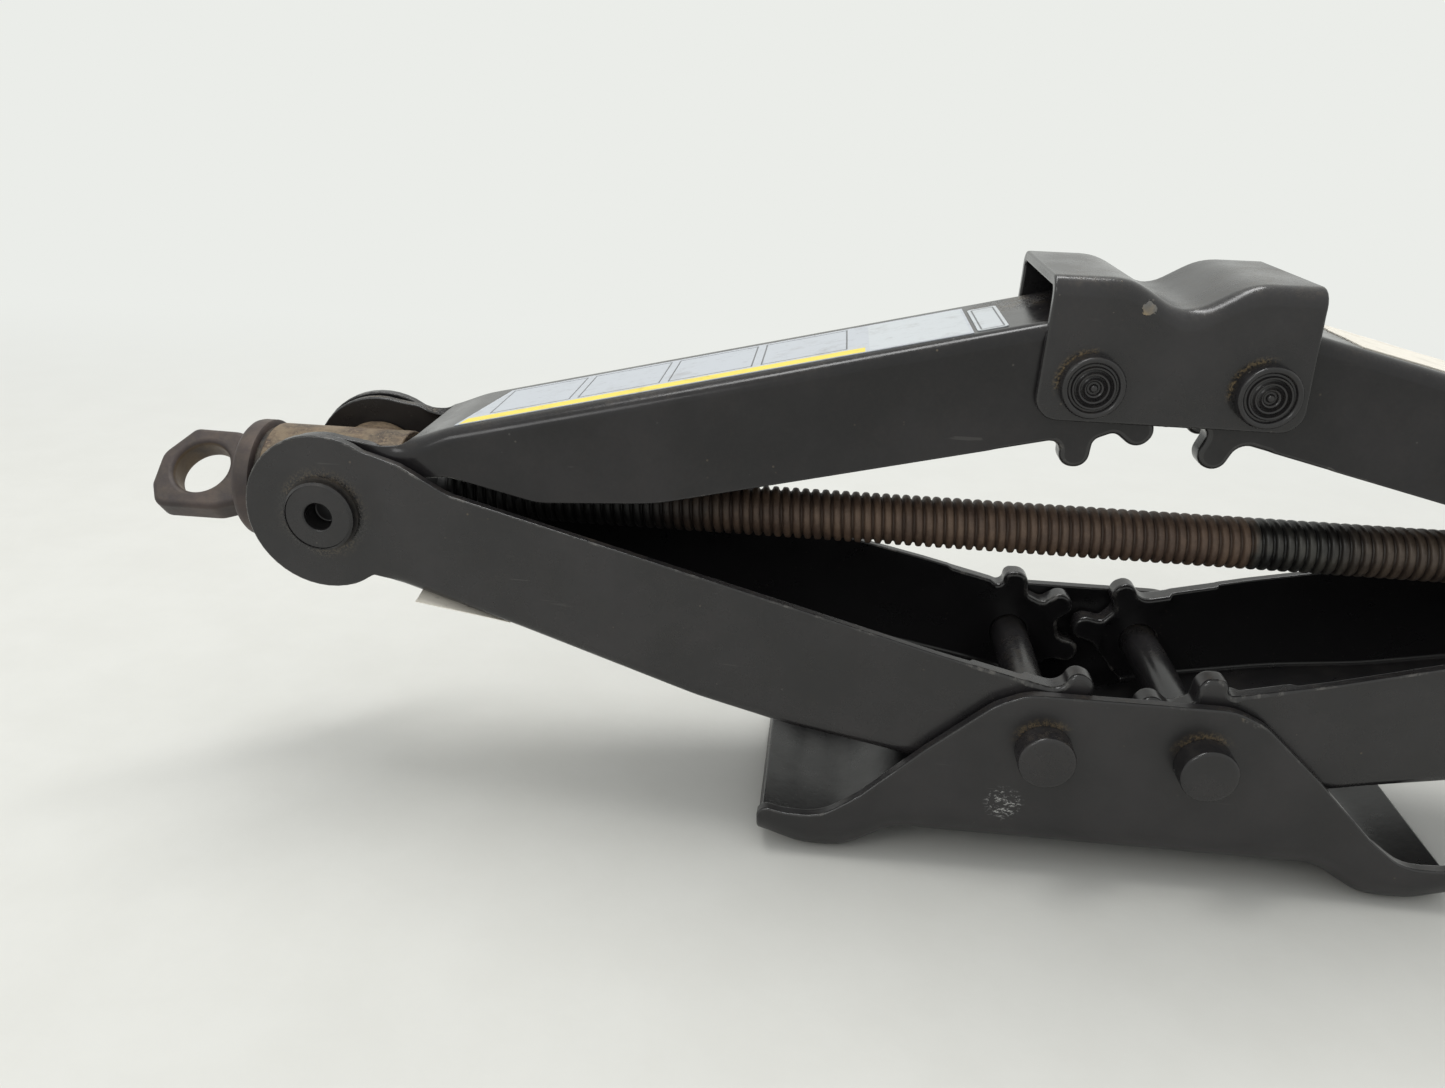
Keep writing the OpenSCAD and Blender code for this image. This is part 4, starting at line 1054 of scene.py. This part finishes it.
run = LABEL_SPLIT - LABEL_START - LABEL_SLANT - 3 * MM
for i in range(FRAMES):
    x = LABEL_START + LABEL_SLANT + 1 * MM + i * run / FRAMES
    film_parts += framed(f"frame_{i}", x, x + run / FRAMES - FRAME_GAP, LABEL_NEAR + BAND_WIDTH + 2 * MM,
                         LABEL_FAR - 1.5 * MM)
own(joined("long_label_film", *film_parts), "upper_arm_left", "label_grey", "long_label")
tag = sheet_piece("tag", rounded_box(TAG_START, TAG_END, LABEL_NEAR + 1 * MM, TAG_FAR, 0.8 * MM), left_web,
                  FILM_PALE)
tag_frame = framed("tag_frame", TAG_START + 0.7 * MM, TAG_END - 0.7 * MM, LABEL_NEAR + 1.8 * MM,
                   TAG_FAR - 1 * MM)
own(joined("tag_label_film", tag, *tag_frame), "upper_arm_left", "label_grey", "tag_label")


def torn(points, depth, seed, step=1.2 * MM):
    """An outline whose edges are torn: each side broken up and pushed in by noise."""
    points = [Vector(p) for p in points]
    middle = mean(points)
    ragged = []
    for a, b in zip(points, points[1:] + points[:1]):
        count = max(2, int((b - a).length / step))
        for p in (a.lerp(b, i / count) for i in range(count)):
            wave = 0.5 + 0.5 * noise.noise(Vector((p.x / (6 * MM), p.y / (6 * MM), seed)))
            wave += 0.35 * noise.noise(Vector((p.x / (1.6 * MM), p.y / (1.6 * MM), seed + 7)))
            ragged.append(p + (middle - p).normalized() * depth * max(0.0, wave))
    return ragged


PAPER_START, PAPER_END, PAPER_HALF = (ARM - 95) * MM, (ARM - 16.5) * MM, 15.5 * MM
paper = [(PAPER_START, -PAPER_HALF), (PAPER_END, -PAPER_HALF),
         (PAPER_END, PAPER_HALF), (PAPER_START, PAPER_HALF)]
right_web = web_place(NUT, across_from(SADDLE_PIN))
own(sheet_piece("paper_label_sheet", torn(paper, 2.2 * MM, 3.0), right_web, PAPER, LABEL_SHEET),
    "upper_arm_right", "label_paper", "paper_label")


def curled(name, start, end, half, near_half, drop, place, material):
    """A film on the lower arm's web whose near edge reaches over the bend and hangs a little loose."""
    work = bmesh.new()
    long, wide = 20, 17
    levels = []
    for lift in (0.15 * LABEL_SHEET / MM, 0.9 * LABEL_SHEET / MM):
        rows = []
        for i in range(long + 1):
            u = start + (end - start) * i / long
            reach = near_half - 2.4 * i / long
            hang = drop * (1 - i / long)
            across = [half * (1 - j / 5) for j in range(5)] + [-reach * j / 12 for j in range(13)]
            rows.append([work.verts.new((u, y, lower_web(u) + lift + hang * ease(half, near_half, -y)))
                         for y in across])
        levels.append(rows)
    for level in levels:
        for a, b in zip(level, level[1:]):
            for j in range(wide):
                work.faces.new((a[j], b[j], b[j + 1], a[j + 1]))
    lower, upper = levels
    rim = [(i, 0) for i in range(long)] + [(long, j) for j in range(wide)]
    rim += [(long - i, wide - j) for i, j in rim]
    for (i, j), (k, m) in zip(rim, rim[1:] + rim[:1]):
        work.faces.new((lower[i][j], lower[k][m], upper[k][m], upper[i][j]))
    bmesh.ops.recalc_face_normals(work, faces=work.faces)
    bmesh.ops.transform(work, matrix=place @ Matrix.Scale(MM, 4), verts=work.verts)
    return from_work(name, work, material)


lower_left = Matrix.Translation(DRIVE) @ Matrix.Diagonal((1, 1, -1, 1)) @ Matrix.Rotation(-ARM_ANGLE, 4, "Y")
own(curled("under_label_film", 26.5, 50, 17, 24.0, 1.5, lower_left, PAPER), "lower_arm_left", "label_paper",
    "under_label")

# stage, light and camera
FLOOR = Shader("floor")
mottle = FLOOR.ramp(FLOOR.noise(30, 6, 0.65), 0.3, 0.7)
floor_color = FLOOR.mix(FLOOR.times(mottle, 0.1), rgb(205, 204, 197), rgb(172, 170, 160))
floor_y = FLOOR.node("ShaderNodeSeparateXYZ", FLOOR.coords).outputs[1]
FLOOR.finish(floor_color, 0.6, FLOOR.bump(FLOOR.noise(3, 4), 0.2, 0.25))
# Beyond the jack the floor passes into the backdrop without an edge
BACKDROP = rgb(235, 237, 233)
plain_light = FLOOR.node("ShaderNodeEmission", BACKDROP, 1.0)
away = FLOOR.vector("LENGTH", FLOOR.coords)
far_off = FLOOR.most(FLOOR.ramp(floor_y, 0.12, 0.6), FLOOR.ramp(away, 0.6, 1.8))
seamless = FLOOR.node("ShaderNodeMixShader", far_off, FLOOR.surface.outputs[0], plain_light.outputs[0])
FLOOR.put(FLOOR.out.inputs[0], seamless.outputs[0])
ground = bmesh.new()
bmesh.ops.create_grid(ground, x_segments=1, y_segments=1, size=4)
floor = from_work("floor", ground, FLOOR.material)

SKY_COLOR = rgb(244, 247, 250)
SKY_LOW = 0.75
SKY_HIGH = 1.15
SKY_FRONT = 0.7
world = bpy.data.worlds.new("world")
bpy.context.scene.world = world
world.use_nodes = True
world.node_tree.nodes.clear()


def sky(kind, *values, **settings):
    return add_node(world.node_tree, kind, *values, **settings).outputs


# The sky lights more from above and less from the front; what views and gloss show is the plain backdrop
_, depth, height = sky("ShaderNodeSeparateXYZ", sky("ShaderNodeTexCoord")["Generated"])[:]
power = sky("ShaderNodeMapRange", height, 0.0, 1.0, SKY_LOW, SKY_HIGH)[0]
front = sky("ShaderNodeMapRange", depth, -0.9, -0.1, SKY_FRONT, 1.0)[0]
power = sky("ShaderNodeMath", power, front, operation="MULTIPLY")[0]
light = sky("ShaderNodeBackground", SKY_COLOR, power)[0]
rays = sky("ShaderNodeLightPath")
shown = sky("ShaderNodeMath", rays["Is Camera Ray"], rays["Is Glossy Ray"], operation="MAXIMUM")[0]
shown = sky("ShaderNodeMath", shown, rays["Is Transmission Ray"], operation="MAXIMUM")[0]
backdrop = sky("ShaderNodeBackground", BACKDROP, 1.0)[0]
sky("ShaderNodeOutputWorld", sky("ShaderNodeMixShader", shown, light, backdrop)[0])


def softbox(name, place, target, size, power):
    lamp = bpy.data.lights.new(name, "AREA")
    lamp.shape = "RECTANGLE"
    lamp.size, lamp.size_y = size
    lamp.energy = power
    made = to_object(name, lamp)
    made.location = place
    made.rotation_euler = (Vector(target) - Vector(place)).to_track_quat("-Z", "Y").to_euler()


softbox("overhead", (-0.2, 0.2, 1.2), (0, 0, 0.05), (1.2, 0.2), 8)
softbox("front_left", (-0.9, -1.1, 0.9), (0, 0, 0.08), (0.6, 0.4), 3)

# The camera stands where the photograph was taken from, fitted to the rivets, ears and edges of the jack
CAMERA_PLACE = Vector((-66.43, -261.39, 175.70)) * MM
YAW, PITCH, ROLL = (radians(a) for a in (-5.24, 22.28, 2.02))
FOCAL_SHARE = 1107.14 / 1445
forward = Vector((sin(YAW) * cos(PITCH), cos(YAW) * cos(PITCH), -sin(PITCH)))
level = Vector((cos(YAW), -sin(YAW), 0))
upright = level.cross(forward)
right = cos(ROLL) * level + sin(ROLL) * upright
above = -sin(ROLL) * level + cos(ROLL) * upright
lens = bpy.data.cameras.new("camera")
lens.sensor_fit = "HORIZONTAL"
lens.sensor_width = 36
lens.lens = 36 * FOCAL_SHARE
lens.clip_start = 0.01
camera = to_object("camera", lens)
turned = Matrix((right, above, -forward)).transposed().to_4x4()
turned.translation = CAMERA_PLACE
camera.matrix_world = turned
bpy.context.scene.camera = camera
bpy.context.scene.view_settings.view_transform = "Standard"
